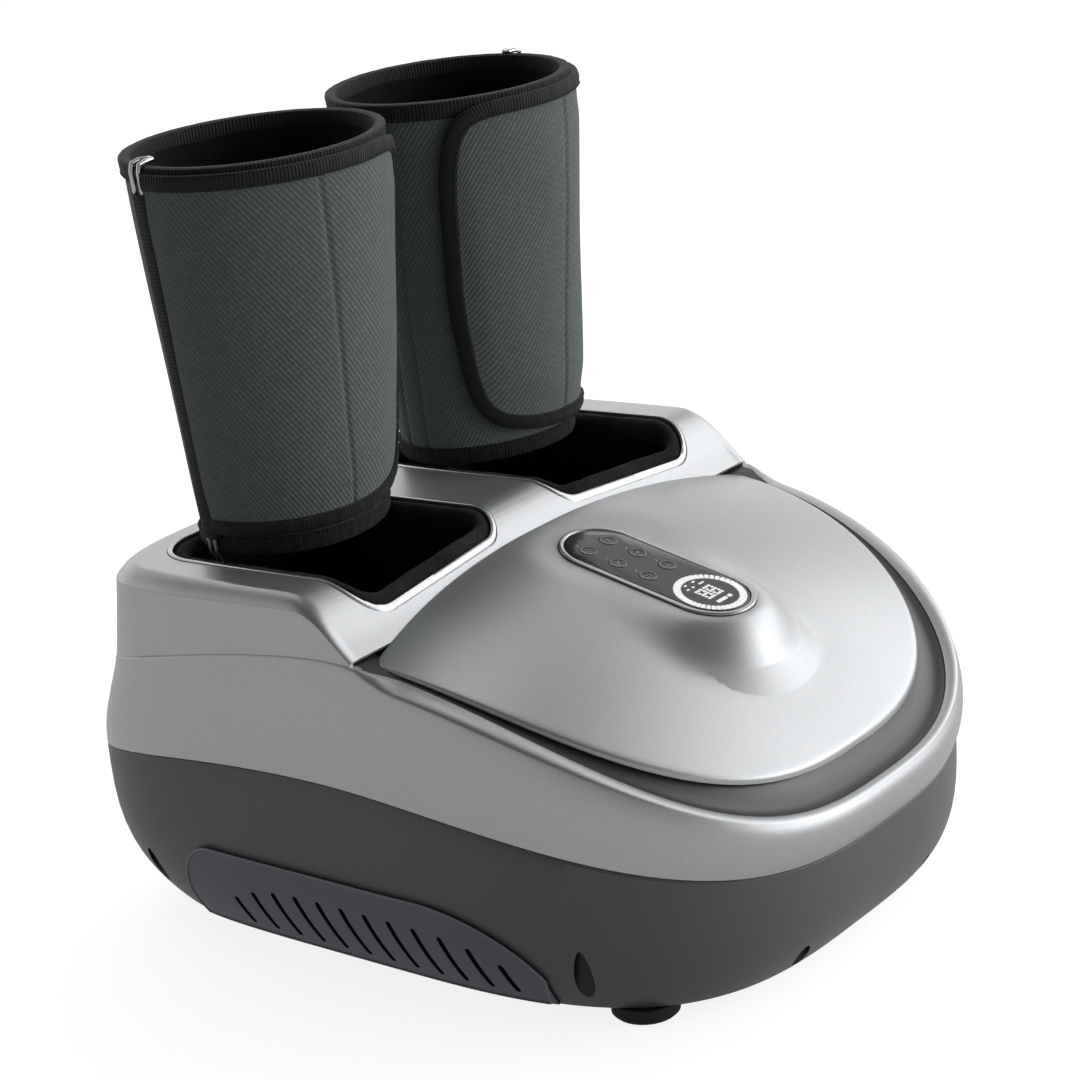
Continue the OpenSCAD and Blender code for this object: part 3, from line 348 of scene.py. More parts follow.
def twill(name, dark, light, pitch):
    """Woven polyester twill: slanted ribs a thread pair wide, on the piece's own sheet coordinates in metres."""
    mat = new_finish(name)
    sheet = add(mat, "UVMap").outputs["UV"]
    where = add(mat, "TexCoord").outputs["Object"]
    # real twill ribs are about 1 mm apart; the wave repeats every two pitches, twice as coarse, so that they show
    slant = add(mat, "Mapping", {"Rotation": (0, 0, math.radians(34))}, {"Vector": sheet})
    rib = add(mat, "TexWave", {"Scale": per_m(pitch) / 20 * math.pi, "Distortion": 1.2, "Detail": 2.0,
                               "Detail Scale": 3.0}, {"Vector": slant.outputs["Vector"]}, bands_direction="X")
    cross = add(mat, "Mapping", {"Rotation": (0, 0, math.radians(-62))}, {"Vector": sheet})
    float_ = add(mat, "TexWave", {"Scale": per_m(pitch * 1.6) / 20 * math.pi, "Distortion": 2.5, "Detail": 1.0},
                 {"Vector": cross.outputs["Vector"]}, bands_direction="X")
    slub = add(mat, "TexNoise", {"Scale": per_m(5), "Detail": 3.0}, {"Vector": where})
    weave = add(mat, "Math", {}, {0: rib.outputs["Fac"], 1: float_.outputs["Fac"]}, operation="MULTIPLY")
    height = add(mat, "Math", {1: 0.7}, {0: weave.outputs["Value"], 2: rib.outputs["Fac"]}, operation="MULTIPLY_ADD")
    shade = add(mat, "Math", {1: 0.55}, {0: height.outputs["Value"]}, operation="MULTIPLY")
    tone = add(mat, "Mix", {"A": linear(dark), "B": linear(light)}, {"Factor": shade.outputs["Value"]},
               data_type="RGBA")
    worn = add(mat, "Mix", {"B": linear(dark)}, {"A": tone.outputs[2], "Factor": slub.outputs["Fac"]}, data_type="RGBA")
    bump = add(mat, "Bump", {"Strength": 0.7, "Distance": 0.0002}, {"Height": height.outputs["Value"]})
    return close_finish(mat, {"Roughness": 0.82, "Sheen Weight": 0.12, "Sheen Roughness": 0.5,
                              "Specular IOR Level": 0.3},
                        {"Base Color": worn.outputs[2], "Normal": bump.outputs["Normal"]})


def ribbed_tape(name, dark, light, pitch):
    """Woven binding tape: fine ribs across its length, drawn twice as coarse as real so that they show."""
    mat = new_finish(name)
    sheet = add(mat, "UVMap").outputs["UV"]
    rib = add(mat, "TexWave", {"Scale": per_m(pitch) / 20 * math.pi, "Distortion": 0.6}, {"Vector": sheet},
              bands_direction="X")
    tone = add(mat, "Mix", {"A": linear(dark), "B": linear(light)}, {"Factor": rib.outputs["Fac"]}, data_type="RGBA")
    bump = add(mat, "Bump", {"Strength": 0.8, "Distance": 0.0004}, {"Height": rib.outputs["Fac"]})
    return close_finish(mat, {"Roughness": 0.72, "Sheen Weight": 0.1, "Specular IOR Level": 0.35},
                        {"Base Color": tone.outputs[2], "Normal": bump.outputs["Normal"]})


def bare_metal(name, shade, rough, line=0.4, along="X"):
    """Drawn or machined metal: faint lines left by the tool."""
    mat = new_finish(name)
    where = add(mat, "TexCoord").outputs["Object"]
    scale = (0.06 if along == "X" else 1, 1, 0.06 if along == "Z" else 1)
    stretch = add(mat, "Mapping", {"Scale": scale}, {"Vector": where})
    lines = add(mat, "TexNoise", {"Scale": per_m(line), "Detail": 3.0}, {"Vector": stretch.outputs["Vector"]})
    gloss = add(mat, "MapRange", {"To Min": rough - 0.07, "To Max": rough + 0.07}, {"Value": lines.outputs["Fac"]})
    bump = add(mat, "Bump", {"Strength": 0.4, "Distance": 0.00002}, {"Height": lines.outputs["Fac"]})
    return close_finish(mat, {"Base Color": linear(shade), "Metallic": 1.0},
                        {"Roughness": gloss.outputs["Result"], "Normal": bump.outputs["Normal"]})


# soft metallic sheen that runs from light to dark round the casing
SILVER = silver_paint()
# the same silver paint, darkened: painted shade that makes the groove read deep
GROOVE_SHADE_SILVER = silver_paint("satin_graphite_painted_abs", "#505254", "#5E6062", 0.5)
# matt dark shell with a broad soft gloss
DARK_ABS = moulded("dark_grey_moulded_abs", "#69696B", 0.42, grain=0.8, vary=0.04)
# cooler, bluish panel against the shell
VENT_ABS = moulded("blue_grey_moulded_abs", "#6C707B", 0.46, grain=0.8, vary=0.04)
# thin pale line round the panel: a painted highlight where its edge catches light
VENT_EDGE_HIGHLIGHT = moulded("pale_grey_painted_edge_highlight", "#8E919A", 0.4)
# crisp bright line round wells and panel
BRIGHT = moulded("bright_silver_plated_abs", "#BFC1C3", 0.24, metal=0.85, depth=0.000005, vary=0.02)
# deep black nap with soft streaks
PLUSH = plush("black_plush", "#0A0A0A", "#343536")
# flatter black inside the wraps
LINING = plush("black_brushed_lining", "#060606", "#1A1B1C", pile=0.8)
# grey-green weave with slanted ribs
CLOTH = twill("teal_grey_twill", "#596262", "#8A9494", 1.1)
# black edging with fine cross ribs
TAPE = ribbed_tape("black_ribbed_tape", "#060707", "#111213", 1.0)
# dull stitches a shade above the tape
THREAD = moulded("dark_grey_thread", "#2A2C2E", 0.8, grain=0.3)
# smooth dark window that mirrors softly
GLOSS = moulded("dark_grey_gloss_pmma", "#222324", 0.2, grain=4, depth=0.000002, vary=0.03, coat=0.25)
# thin pale signs
MARK = moulded("pale_grey_screen_print", "#9A9A9A", 0.5, grain=2)
# the display, brighter than its surroundings
LIT = moulded("white_display_window", "#F2F3F3", 0.4, grain=2, vary=0.01, glow=0.45)
# dull black feet
RUBBER = moulded("black_moulded_rubber", "#1B1B1C", 0.78, grain=1.2, depth=0.00006)
# black plastic of the inlet and valve block, and painted shade on the walls of holes and slots
BLACK_ABS_AND_HOLE_SHADE = moulded("black_moulded_abs", "#151516", 0.55)
# bright wire with drawn lines
STEEL = bare_metal("bright_drawn_steel_wire", "#C4C6C8", 0.22, along="Z")
# grey metal of screws and plates
PLATE = bare_metal("zinc_plated_steel", "#AEB2B6", 0.36)
# yellow metal pinion
BRASS = bare_metal("machined_brass", "#C79A4B", 0.3)
# painted can
MOTOR = bare_metal("grey_painted_steel_can", "#7C8084", 0.42)
# off-white wheels
ACETAL = moulded("natural_acetal", "#DAD3BF", 0.4)
# dark kneading heads
NYLON = moulded("dark_grey_glass_filled_nylon", "#2B2D30", 0.6, grain=0.9)
# green boards
BOARD = moulded("green_epoxy_glass_board", "#1F5A38", 0.4, grain=1.5)
# milky hoses
SILICONE = moulded("pale_silicone_tube", "#C9C9C2", 0.4, grain=3)
# amber film
FILM = moulded("amber_heater_film", "#B06A24", 0.35, grain=3)
# grey air cell
BLADDER = moulded("grey_coated_nylon_bladder", "#4A4B4D", 0.6, grain=1.0)


def dress(piece, *finishes):
    piece.data.materials.clear()
    for f in finishes:
        piece.data.materials.append(f)
    return piece


# ---------------------------------------------------------------- casing shapes, as in the part's source

ROUND = 360  # points round a casing ring
CASE_HALF, CASE_NOSE, CASE_REAR = 179.6, 210.7, 216  # reach of the parting line from the middle
CASE_POWER, REAR_POWER = 2.81, 5.2  # how square its nose and its rear are
LID_HALF, LID_NOSE, LID_POWER = 165, 195.5, 2.64
PANEL_Y, PANEL_Z, PANEL_TILT = -77, 185.8, math.radians(12.45)
TOWER_HALF = 178
FOOT_X = 87.5  # middle of a foot well and its wrap
WRAP_FOOT, WRAP_RISE = 217, 207


def part_z(y):
    return 116.5 - 50.6 * ((20 - y) / 240) ** 2 if y < 20 else 116.5 - 20.5 * ((y - 20) / 180) ** 2


def part_line(i, around=ROUND):
    return outline_at(turn_of(i, around), CASE_HALF, CASE_NOSE, CASE_REAR, CASE_POWER, REAR_POWER)


def low_point(i, share, draw, z=None, around=ROUND):
    """A place on the lower casing, drawn in by draw."""
    f = (1 - share) ** 3.2
    x, y = outline_at(turn_of(i, around), CASE_HALF - 23 * f - draw, CASE_NOSE - 20 * f - draw,
                      CASE_REAR - 26 * f - draw, CASE_POWER + f / 2, REAR_POWER)
    return x, y, 8 + share * (part_z(part_line(i, around)[1]) - 8) if z is None else z


def low_half(y, z):
    """Half width of the lower casing at a place."""
    f = max(0, 1 - (z - 8) / (part_z(y) - 8)) ** 3.2
    b, n = (CASE_NOSE - 20 * f, CASE_POWER + f / 2) if y < 0 else (CASE_REAR - 26 * f, REAR_POWER)
    return (CASE_HALF - 23 * f) * max(0, 1 - (abs(y) / b) ** n) ** (1 / n)


def lid_edge(y):
    return 184 - 71.45 * (max(0, -y) / 195) ** 1.853


def rim_height(y):
    return 182 - 76 * (-y / 195) ** 1.853 + 4 * step01(-40, -16, y) if y < 0 else 186 - 25 * (y / 150) ** 1.5


def rim_point(i, around=ROUND):
    x, y = outline_at(turn_of(i, around), 168, 209.3, 177, 2.83, 9)
    return x * mix(1, 178.3 / 168, step01(-40, -16, y)), y, rim_height(y)


def toward_middle(p, w, dz=0.0):
    r = math.hypot(p[0], p[1])
    return p[0] * (1 - w / r), p[1] * (1 - w / r), p[2] + dz


def skirt(y):
    return mix(0.4, 0.7, step01(0, -LID_NOSE, y)) * 5


BULGE_SIDE = [(0, 0), (0.22, 0.9), (0.45, 1.6), (0.66, 1.5), (0.82, 0.8), (0.93, 0)]
BULGE_NOSE = [(0, 0), (0.22, 3), (0.45, 4.8), (0.66, 5.2), (0.82, 4.4), (0.93, 3)]
BULGE_REAR = [(0, 0), (0.22, -9.5), (0.45, -19.9), (0.66, -28.9), (0.82, -35), (0.93, -38.3)]


def up_point(i, share, draw, around=ROUND):
    """A place on the upper casing's wall below its shoulder."""
    x, y = outline_at(turn_of(i, around), CASE_HALF + curve_through(BULGE_SIDE, share) - draw,
                      CASE_NOSE + curve_through(BULGE_NOSE, share) - draw,
                      CASE_REAR + curve_through(BULGE_REAR, share) - draw, CASE_POWER,
                      mix(REAR_POWER, 9, share))
    return x, y, mix(part_z(part_line(i, around)[1]) + 0.3, rim_point(i, around)[2], share)


def slope_z(y):
    return 202.5 + 1.08 * y


def top_z(y):
    return soft_min(slope_z(y), 217.6 - 0.037 * y, 12)


def low_z(y):
    return soft_min(200.5 + 0.9 * y, 210.5 - 0.05 * y, 10)


def half_at(y, a, b):
    return a * (1 - (max(0, y) / b) ** 9) ** (1 / 9)


SIDE_Y = [-16 + 3 * k for k in range(13)] + [26, 36, 48, 60, 74, 90, 100, 110]
CORNER_T = [38 + 1.6 * k for k in range(32)]


def tower_ring(a, b, front):
    """Outline of the tower: straight across its front, then round the rear corners, mirrored."""
    half = [(half_at(y if k else front, a, b), y if k else front) for k, y in enumerate(SIDE_Y)]
    for t in CORNER_T:
        c, s = math.cos(math.radians(t)), math.sin(math.radians(t))
        r = ((c / a) ** 9 + (s / b) ** 9) ** (-1 / 9)
        if r * s > half[-1][1] + 0.5:
            half.append((r * c, r * s))
    return [(0, front)] + half + [(0, b)] + [(-x, y) for x, y in reversed(half)]


def well_line(w, steps=10, count=None):
    """Outline of the right foot well, drawn in by w."""
    line = rounded([(22.5 + w, 1 + w), (152.5 - w, -6.5 + w), (152.5 - w, 149 - w), (22.5 + w, 149 - w)],
                   [max(4, r - w) for r in (19, 24, 34, 26)], steps)
    return even(line, count) if count else line


# ---------------------------------------------------------------- casing pieces

def lower_casing():
    """Dark grey shell with its vent slots, six screw wells and the inlet's hole."""
    rows = [(s, 0) for s in (0, 0.008, 0.02, 0.04, 0.065, 0.09, 0.13, 0.18, 0.24, 0.3, 0.38, 0.48, 0.6, 0.72, 0.86,
                             0.985)]
    rows += [(1, 0.9), (1, 3), (0.5, 3), (0.28, 3), (0.14, 3), (0.05, 3)]

    def place(row, i):
        share, draw = rows[row]
        if row == 0:
            return low_point(i, 0, 1.2)
        return low_point(i, share, draw, 11 if row == len(rows) - 1 else None)

    shell = capped_rings("lower_casing", ROUND, len(rows), place)
    keep_in = capped_rings("post_limit", 180, 12, lambda row, i: low_point(
        i, (0, 0.03, 0.06, 0.1, 0.16, 0.24, 0.32, 0.42, 0.54, 0.68, 0.84, 1)[row], 0.6, around=180))
    posts, bores = [], []
    for x, y in SCREWS:
        out = Vector((x, y)) * 0.08
        line = rounded([(x - 8, y - 8), (x + 8, y - 8), (x + 8, y + 8), (x - 8, y + 8)], [7.9] * 4, 6)
        if y < -150:
            line = [p if p.y > y else p + out for p in line]
        else:
            line = [p if p.x * x < x * x else p + Vector((out.x, 0)) for p in line]
        posts.append(capped_rings("post", len(line), 2, lambda row, i, l=line: (l[i].x, l[i].y, (8.2, 65)[row])))
        bpy.ops.mesh.primitive_cylinder_add(vertices=40, radius=5 * MM, depth=62 * MM,
                                            location=(x * MM, y * MM, 31 * MM))
        bores.append(bpy.context.object)
    posts = joined("posts", posts)
    boolean(posts, "INTERSECT", keep_in)
    boolean(shell, "UNION", posts)
    drop_selection()
    bpy.ops.mesh.primitive_cylinder_add(vertices=40, radius=6.2 * MM, depth=40 * MM, location=(0, 0.216, 0.048),
                                        rotation=(math.pi / 2, 0, 0))
    bores.append(bpy.context.object)
    for side in (1, -1):
        bores.append(slot_cutters(side, 26, 4.2))
    cut(shell, joined("bores", bores))
    tidy(shell)
    dress(shell, DARK_ABS, BLACK_ABS_AND_HOLE_SHADE)
    # walls of the screw bores and slots take the black finish: painted shade in the holes
    for face in shell.data.polygons:
        c = face.center * 1000
        deep = any(in_bore(c, face.normal, q) for q in SCREWS)
        slot_wall = abs(c.x) > 140 and c.z < 60 and abs(face.normal.y) > 0.6 and -100 < c.y < 100
        face.material_index = 1 if deep or slot_wall else 0
    return shell


def in_bore(c, normal, q):
    away = c.xy - Vector(q)
    wall = normal.xy.dot(away) < -0.9 * away.length or (c.z > 55 and normal.z < -0.9)
    return away.length < 5.02 and 9 < c.z < 64 and wall


SCREWS = [(s * x, y) for s in (-1, 1) for x, y in ((162, 156), (154, -128), (60, -194))]


def slot_z(k):
    return 46 - 288 * (abs(k - 5.5) / 12) ** 4


def slot_cutters(side, depth, width):
    """Twelve slanted slots with round ends, as bodies to cut with."""
    out = []
    for k in range(12):
        z_top = slot_z(k)
        h = z_top - 18 + width
        line = rounded([(-width / 2, -h / 2), (width / 2, -h / 2), (width / 2, h / 2), (-width / 2, h / 2)],
                       [width / 2 - 0.01] * 4, 4)
        c, s = math.cos(math.radians(-14)), math.sin(math.radians(-14))

        def place(row, i, line=line, y=88 - 16 * k, z=(z_top + 16) / 2):
            a, b = line[i]
            return side * (170 + (-depth, depth)[row]), y + a * c - b * s, z + a * s + b * c

        out.append(capped_rings("slot", len(line), 2, place))
    return joined("slots", out)


def upper_casing():
    """Silver shell: bulging wall, round shoulder, rim, and the ledge under the lid."""
    rows = [("wall", s, d) for s, d in ((0, 0.9), (0.012, 0), (0.06, 0), (0.14, 0), (0.22, 0), (0.33, 0), (0.45, 0),
                                        (0.55, 0), (0.66, 0), (0.74, 0), (0.82, 0), (0.88, 0), (0.93, 0))]
    rows += [("shoulder", a, 0) for a in (15, 30, 45, 60, 75, 90)]
    rows += [("rim_in", 0, 0), ("ledge", 0, 0), ("ledge", -3, 0), ("under", 0, 0)]
    rows += [("wall", s, 3) for s in (0.66, 0.22, 0)]

    def place(i, j):
        i = (i + ROUND // 4) % ROUND
        kind, a, b = rows[j]
        if kind == "wall":
            return up_point(i, a, b)
        rim = Vector(rim_point(i))
        if kind == "shoulder":
            last = Vector(up_point(i, 0.93, 0))
            s, c = math.sin(math.radians(a)), math.cos(math.radians(a))
            p = last.lerp(rim, 1 - c)
            return p.x, p.y, mix(last.z, rim.z, s)
        k = step01(-40, -16, rim.y)
        if kind == "rim_in":
            return toward_middle(rim, mix(0.9, 4, k), -mix(3.8, 0.1, k))
        if kind == "ledge":
            x, y = outline_at(turn_of(i, ROUND), LID_HALF, LID_NOSE, 169, LID_POWER, 9)
            k = step01(-40, -16, y)
            return toward_middle((x, y, mix(lid_edge(y) - skirt(y) - 8.7, rim_height(y) - 8, k)), 9, a)
        return toward_middle(rim, 4, -7.4)

    return dress(ring_of_sections("upper_casing", ROUND, len(rows), place), SILVER)


def cove_strip():
    """Concave strip in the groove between the lid's edge and the casing's rim."""
    span = [i for i in range(ROUND) if rim_point(i)[1] < -9]
    half = [i for i in span if i < ROUND // 2]
    order = [i - ROUND for i in range(ROUND - half[-1], ROUND)] + half

    def place(u, v):
        i = order[round(u * (len(order) - 1))]
        l = Vector(outline_at(turn_of(i, ROUND), LID_HALF, LID_NOSE, 169, LID_POWER, 9))
        o = Vector(rim_point(i))
        inner = l * (1 - (2.6 + 20 * step01(-34, -20, l.y)) / l.length)
        outer = o.xy * (1 - 0.6 / o.xy.length)
        top = lid_edge(l.y) - skirt(l.y) - 0.6
        p = inner.lerp(outer, v)
        sag = top + (o.z - 0.4 - top) * (1 - (1 - v) ** 2.3)
        return p.x, p.y, min(sag, top) if top > o.z else sag

    strip = sheet_by("cove_strip", len(order) - 1, 12, place)
    modify(strip, "SOLIDIFY", thickness=1.8 * MM, offset=-1 if strip.data.polygons[0].normal.z > 0 else 1)
    # the strip takes the darkened silver: painted shade in the groove
    return dress(tidy(strip), GROOVE_SHADE_SILVER)


def tower_walls():
    """Silver wall round both wells, from the casing's rim up to the top frame."""
    low = tower_ring(TOWER_HALF, 177, -16)[1:]
    high = tower_ring(TOWER_HALF, 169, -16)[1:]
    low, high = even([Vector(p) for p in low], 260, False), even([Vector(p) for p in high], 260, False)

    def place(u, v):
        i = round(u * 259)
        a, b = low[i], high[i]
        za, zb = rim_height(a.y) + 0.02, low_z(b.y) + 0.2
        p = a.lerp(b, v)
        flare = 1 + 0.3 * (1 - v) ** 8 / p.length
        return p.x * flare, p.y * flare, mix(za, zb, v)

    wall = sheet_by("tower_walls", 259, 14, place)
    modify(wall, "SOLIDIFY", thickness=2.6 * MM, offset=-1)
    tidy(wall)
    return dress(wall, SILVER)


def top_frame():
    """Silver frame round both wells: soft chamfer, slope towards the lid, two rounded openings."""
    def ring(a, b, front, kind, dz):
        return [(x, y, (max(top_z(y), low_z(y) + 0.6) if kind == "top" else low_z(y)) + dz)
                for x, y in tower_ring(a, b, front)]

    low, high = ring(TOWER_HALF, 169, -16, "low", 0.3), ring(171.5, 160, -16, "top", 0)
    rings = [ring(169.5, 158, -13, "top", -3), ring(175, 166, -13, "low", 0.3)]
    around = len(low)
    for f in (0, 0.1, 0.3, 0.5, 0.7, 0.85, 0.95, 1):
        swell = 0.9 * math.sin(math.pi * f)
        rings.append([tuple(mix(a, b, f) + s for a, b, s in zip(p, q, (
            swell * (1 if p[0] > 1 else -1 if p[0] < -1 else 0) * (p[1] < 150), swell * (p[1] > 150), swell * 0.7)))
            for p, q in zip(low, high)])
    rings.append([(x * (1 - 2.4 / 172), y if y < 0 else y * (1 - 2.4 / 160), max(top_z(y), low_z(y) + 0.6))
                  for x, y, _ in high])
    frame_top = capped_rings("top_frame", around, len(rings), lambda row, i: rings[row][i])
    # the flat fillings of both ends give way to strips that follow the slope
    mesh = bmesh.new()
    mesh.from_mesh(frame_top.data)
    bmesh.ops.delete(mesh, geom=[f for f in mesh.faces if len(f.verts) > 8], context="FACES_ONLY")
    for rim in (0, len(rings) - 1):
        ends = []
        for p in rings[rim]:
            spot = Vector(p) * MM
            ends.append(min(mesh.verts, key=lambda v: (v.co - spot).length_squared))
        for i in range(around // 2):
            quad = []
            for v in (ends[i], ends[i + 1], ends[(around - i - 1) % around], ends[(around - i) % around]):
                if v not in quad:
                    quad.append(v)
            if len(quad) > 2 and not mesh.faces.get(quad):
                mesh.faces.new(quad)
    mesh.to_mesh(frame_top.data)
    mesh.free()
    tidy(frame_top)
    for side in (1, -1):
        line = well_line(0, 14)
        hole = capped_rings("well_hole", len(line), 2, lambda row, i: (side * line[i].x, line[i].y, (100, 260)[row]))
        cut(frame_top, hole)
    return dress(tidy(frame_top), SILVER)


# ---------------------------------------------------------------- lid

PANEL_HALF = 33.95  # half the straight part of the pill
DISPLAY_V = -34.4  # middle of the round display, along the panel


def lid_rear(x):
    return -2.8 - (18.5 / 1.08) * (abs(x) / LID_HALF) ** 2.2


def lid_width(y):
    return LID_HALF * max(0.001, 1 - min(1, max(0, -y) / LID_NOSE) ** LID_POWER) ** (1 / LID_POWER)


def in_lid(x, y):
    return y < lid_rear(x) and (y > 0 or (abs(x) / LID_HALF) ** LID_POWER + (-y / LID_NOSE) ** LID_POWER < 1)


def lid_reach(c, s):
    lo, hi = 0.0, 260.0
    for _ in range(26):
        m = (lo + hi) / 2
        lo, hi = (m, hi) if in_lid(c * m, s * m + PANEL_Y) else (lo, m)
    return lo


def lid_surface(x, y):
    middle = 202.5 - 89.95 * (max(0, -y) / LID_NOSE) ** 1.75
    dome = middle - (middle - lid_edge(y)) * min(1, abs(x) / lid_width(y)) ** 2.2
    d = max(0, math.hypot(x, max(0, abs(y - PANEL_Y) * 1.02 - PANEL_HALF)) - 24.8)
    rise = max(0, 1 - (d / 31) ** 2) ** 3  # the pod stands out round the panel and rolls down over 31 mm
    return dome + (panel_plane(y) - dome) * rise


def panel_plane(y):
    return PANEL_Z + math.tan(PANEL_TILT) * (y - PANEL_Y)


def pill_reach(w, c, s):
    h, q = PANEL_HALF, abs(s) / math.cos(PANEL_TILT)
    m = c * c + q * q
    return w / abs(c) if q * w <= abs(c) * h else (h * q + math.sqrt(max(0, h * h * q * q - m * (h * h - w * w)))) / m


def lid():
    """Domed lid with a raised pod round the panel and a small bevel along its edge."""
    shares = (0, 0.015, 0.04, 0.08, 0.13, 0.19, 0.26, 0.34, 0.43, 0.52, 0.62, 0.72, 0.81, 0.89, 0.95, 0.985)
    rows = len(shares) + 9

    def place(i, j):
        t = 2 * math.pi * i / ROUND
        c, s = math.cos(t), math.sin(t)
        a, b = pill_reach(25.2, c, s), lid_reach(c, s)
        back = step01(0.2, 0.4, s)
        ex, ey = c * b, s * b + PANEL_Y
        if j < len(shares):
            r = mix(a, b - 2.4, shares[j])
            x, y = c * r, s * r + PANEL_Y
            return x, y, panel_plane(y) if j == 0 else lid_surface(x, y)
        j -= len(shares)
        if j < 4:  # a round edge: 1.6 mm in, falling to the side of the skirt
            w = math.radians((12, 38, 64, 90)[j])
            r = b - 1.9 * (1 - math.sin(w))
            return c * r, s * r + PANEL_Y, lid_surface(c * r, s * r + PANEL_Y) - 1.3 * (1 - math.cos(w))
        if j == 4:
            return ex, ey - 2.4 * back, lid_surface(ex, ey) - mix(skirt(ey), 2.6, back)
        f = (1, 0.6, 0.25, 0)[j - 5]
        r = mix(a, b - mix(2.5, 4, back), f)
        x, y = c * r, s * r + PANEL_Y
        return x, y, (panel_plane(y) if j == 8 else lid_surface(x, y)) - (mix(skirt(y), 3, back) if j == 5 else 2.5)

    return dress(ring_of_sections("lid", ROUND, rows, place), SILVER)


# ---------------------------------------------------------------- control panel

def on_panel(u, v, w):
    c, s = math.cos(PANEL_TILT), math.sin(PANEL_TILT)
    return u, PANEL_Y + v * c - w * s, PANEL_Z + v * s + w * c


def pill_line(half, count):
    """Outline of a long round pill, from (half, 0) round."""
    line = []
    for k in range(count):
        t = math.pi * 2 * k / count
        line.append((half * math.cos(t), half * math.sin(t) + (PANEL_HALF if k < count // 2 else -PANEL_HALF)))
    return line


def panel_ring(name, half, section, finish, count=160):
    """A band round the panel; section gives (outward, up) places."""
    def place(i, j):
        out, up = section[j]
        u, v = pill_line(half + out, count)[i]
        return on_panel(u, v, up)
    return dress(ring_of_sections(name, count, len(section), place), finish)


def disc_of(name, rows, at, finish, around=64):
    """A turned body standing on the panel: rows of (radius, height)."""
    def place(row, i):
        t = 2 * math.pi * i / around
        return on_panel(at[0] + rows[row][0] * math.cos(t), at[1] + rows[row][0] * math.sin(t), rows[row][1])
    return dress(capped_rings(name, around, len(rows), place), finish)


def ring_on(name, at, r_in, r_out, low, high, around=48):
    """A thin printed or moulded ring on the panel."""
    def place(i, j):
        r, w = ((r_in, low), (r_out, low), (r_out, high), (r_in, high))[j]
        t = 2 * math.pi * i / around
        return on_panel(at[0] + r * math.cos(t), at[1] + r * math.sin(t), w)
    return ring_of_sections(name, around, 4, place)


def plate_on(name, corners, low, high, radius=0.25):
    """A small raised or printed shape on the panel."""
    line = rounded(corners, [radius] * len(corners), 2)
    return capped_rings(name, len(line), 2, lambda row, i: on_panel(line[i].x, line[i].y, (low, high)[row]))


def bar_on(at, length, width, angle, low, high):
    c, s = math.cos(math.radians(angle)), math.sin(math.radians(angle))
    pts = [(-length / 2, -width / 2), (length / 2, -width / 2), (length / 2, width / 2), (-length / 2, width / 2)]
    return plate_on("bar", [(at[0] + a * c - b * s, at[1] + a * s + b * c) for a, b in pts], low, high, width * 0.3)


def control_panel():
    out = [panel_ring("panel_rim", 24.8, [(0, 0.3), (0, 1.1), (-0.35, 1.42), (-1.3, 1.5), (-2.3, 1.4), (-2.8, 1.0),
                                          (-2.9, -4), (-1.5, -4), (-1.5, 0.3)], BRIGHT)]
    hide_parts("panel_bezel")
    line = pill_line(21.7, 160)
    rows = [(0.4, -1.3), (0, -0.9), (0, 0.5), (0.25, 0.95), (0.8, 1.2)]

    def place(row, i):
        k = (21.7 - rows[row][0]) / 21.7
        u, v = line[i]
        e = PANEL_HALF if i < 80 else -PANEL_HALF
        return on_panel(u * k, (v - e) * k + e, rows[row][1])

    lens = capped_rings("panel_lens_plate", 160, len(rows), place)
    for at in KEYS:
        cut(lens, disc_of("key_hole", [(5.35, -3), (5.35, 4)], at, GLOSS, 48))
    groove = ring_on("ring_groove", (0, DISPLAY_V), 15.3, 19.7, 0.6, 3, 96)
    cut(lens, groove)
    tidy(lens)
    dress(lens, GLOSS)
    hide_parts("panel_lens")
    out.append(lens)
    for n, at in enumerate(KEYS):
        cap = disc_of("touch_key_%d" % (n + 1), [(6.5, -3.2), (6.5, -1.6), (5.2, -1.6), (5.2, 1.2), (4.95, 1.42),
                                                 (4.4, 1.4), (3.4, 1.22), (2.0, 1.12)], at, GLOSS)
        marks = [ring_on("line", at, 4.0, 4.6, 1.3, 1.46)]
        marks += key_mark(n, at)
        marks = dress(tidy(joined("key_%d_print" % (n + 1), marks)), MARK)
        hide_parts("key_%d" % (n + 1))
        for p in (cap, marks):
            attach(p, "key_%d_body" % (n + 1))
        # a short caption stroke beside each key, printed on the panel itself
        out.append(dress(tidy(joined("caption_%d" % (n + 1), [
            bar_on((at[0] + a, at[1] + b), l, 0.7, 0, 1.18, 1.27) for a, b, l in ((-0.6, 7.0, 2.4), (0.4, 8.3, 1.8))])),
            MARK))
    cells = []
    for k in range(40):
        a, b = math.radians(9 * k + 0.9), math.radians(9 * k + 8.1)
        middle = (a + b) / 2
        turns = ((15.5, a), (19.5, a), (19.5, middle), (19.5, b), (15.5, b), (15.5, middle))
        corners = [(r * math.cos(t), DISPLAY_V + r * math.sin(t)) for r, t in turns]
        cells.append(plate_on("cell", corners, 0.7, 1.3, 0.12))
    # the read-out: two dotted figures, two bars and four small lamps
    for col in (0, 1):
        for r in range(5):
            for c in range(3):
                if (r in (1, 3)) and c == 1:
                    continue
                cells.append(bar_on((-6.0 + col * 7.2 + c * 2.2, -29.6 - r * 2.15), 1.9, 1.8, 0, 1.18, 1.29))
    cells.append(bar_on((-2.4, -43.6), 8.6, 2.4, 0, 1.18, 1.29))
    cells.append(bar_on((4.6, -43.6), 3.2, 2.4, 0, 1.18, 1.29))
    for x, y, l in ((-7.0, -25.2, 2.2), (-2.4, -25.2, 2.2), (5.0, -25.2, 4.4), (-4.4, -21.6, 2.2), (2.6, -21.6, 2.6)):
        cells.append(bar_on((x, y), l, 1.2, 0, 1.18, 1.29))
    cells = dress(tidy(joined("display_windows", cells)), LIT)
    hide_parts("display_ring")
    out.append(cells)
    return out


KEYS = [(9 * s, v) for s in (-1, 1) for v in (37.9, 18.4, -1)]


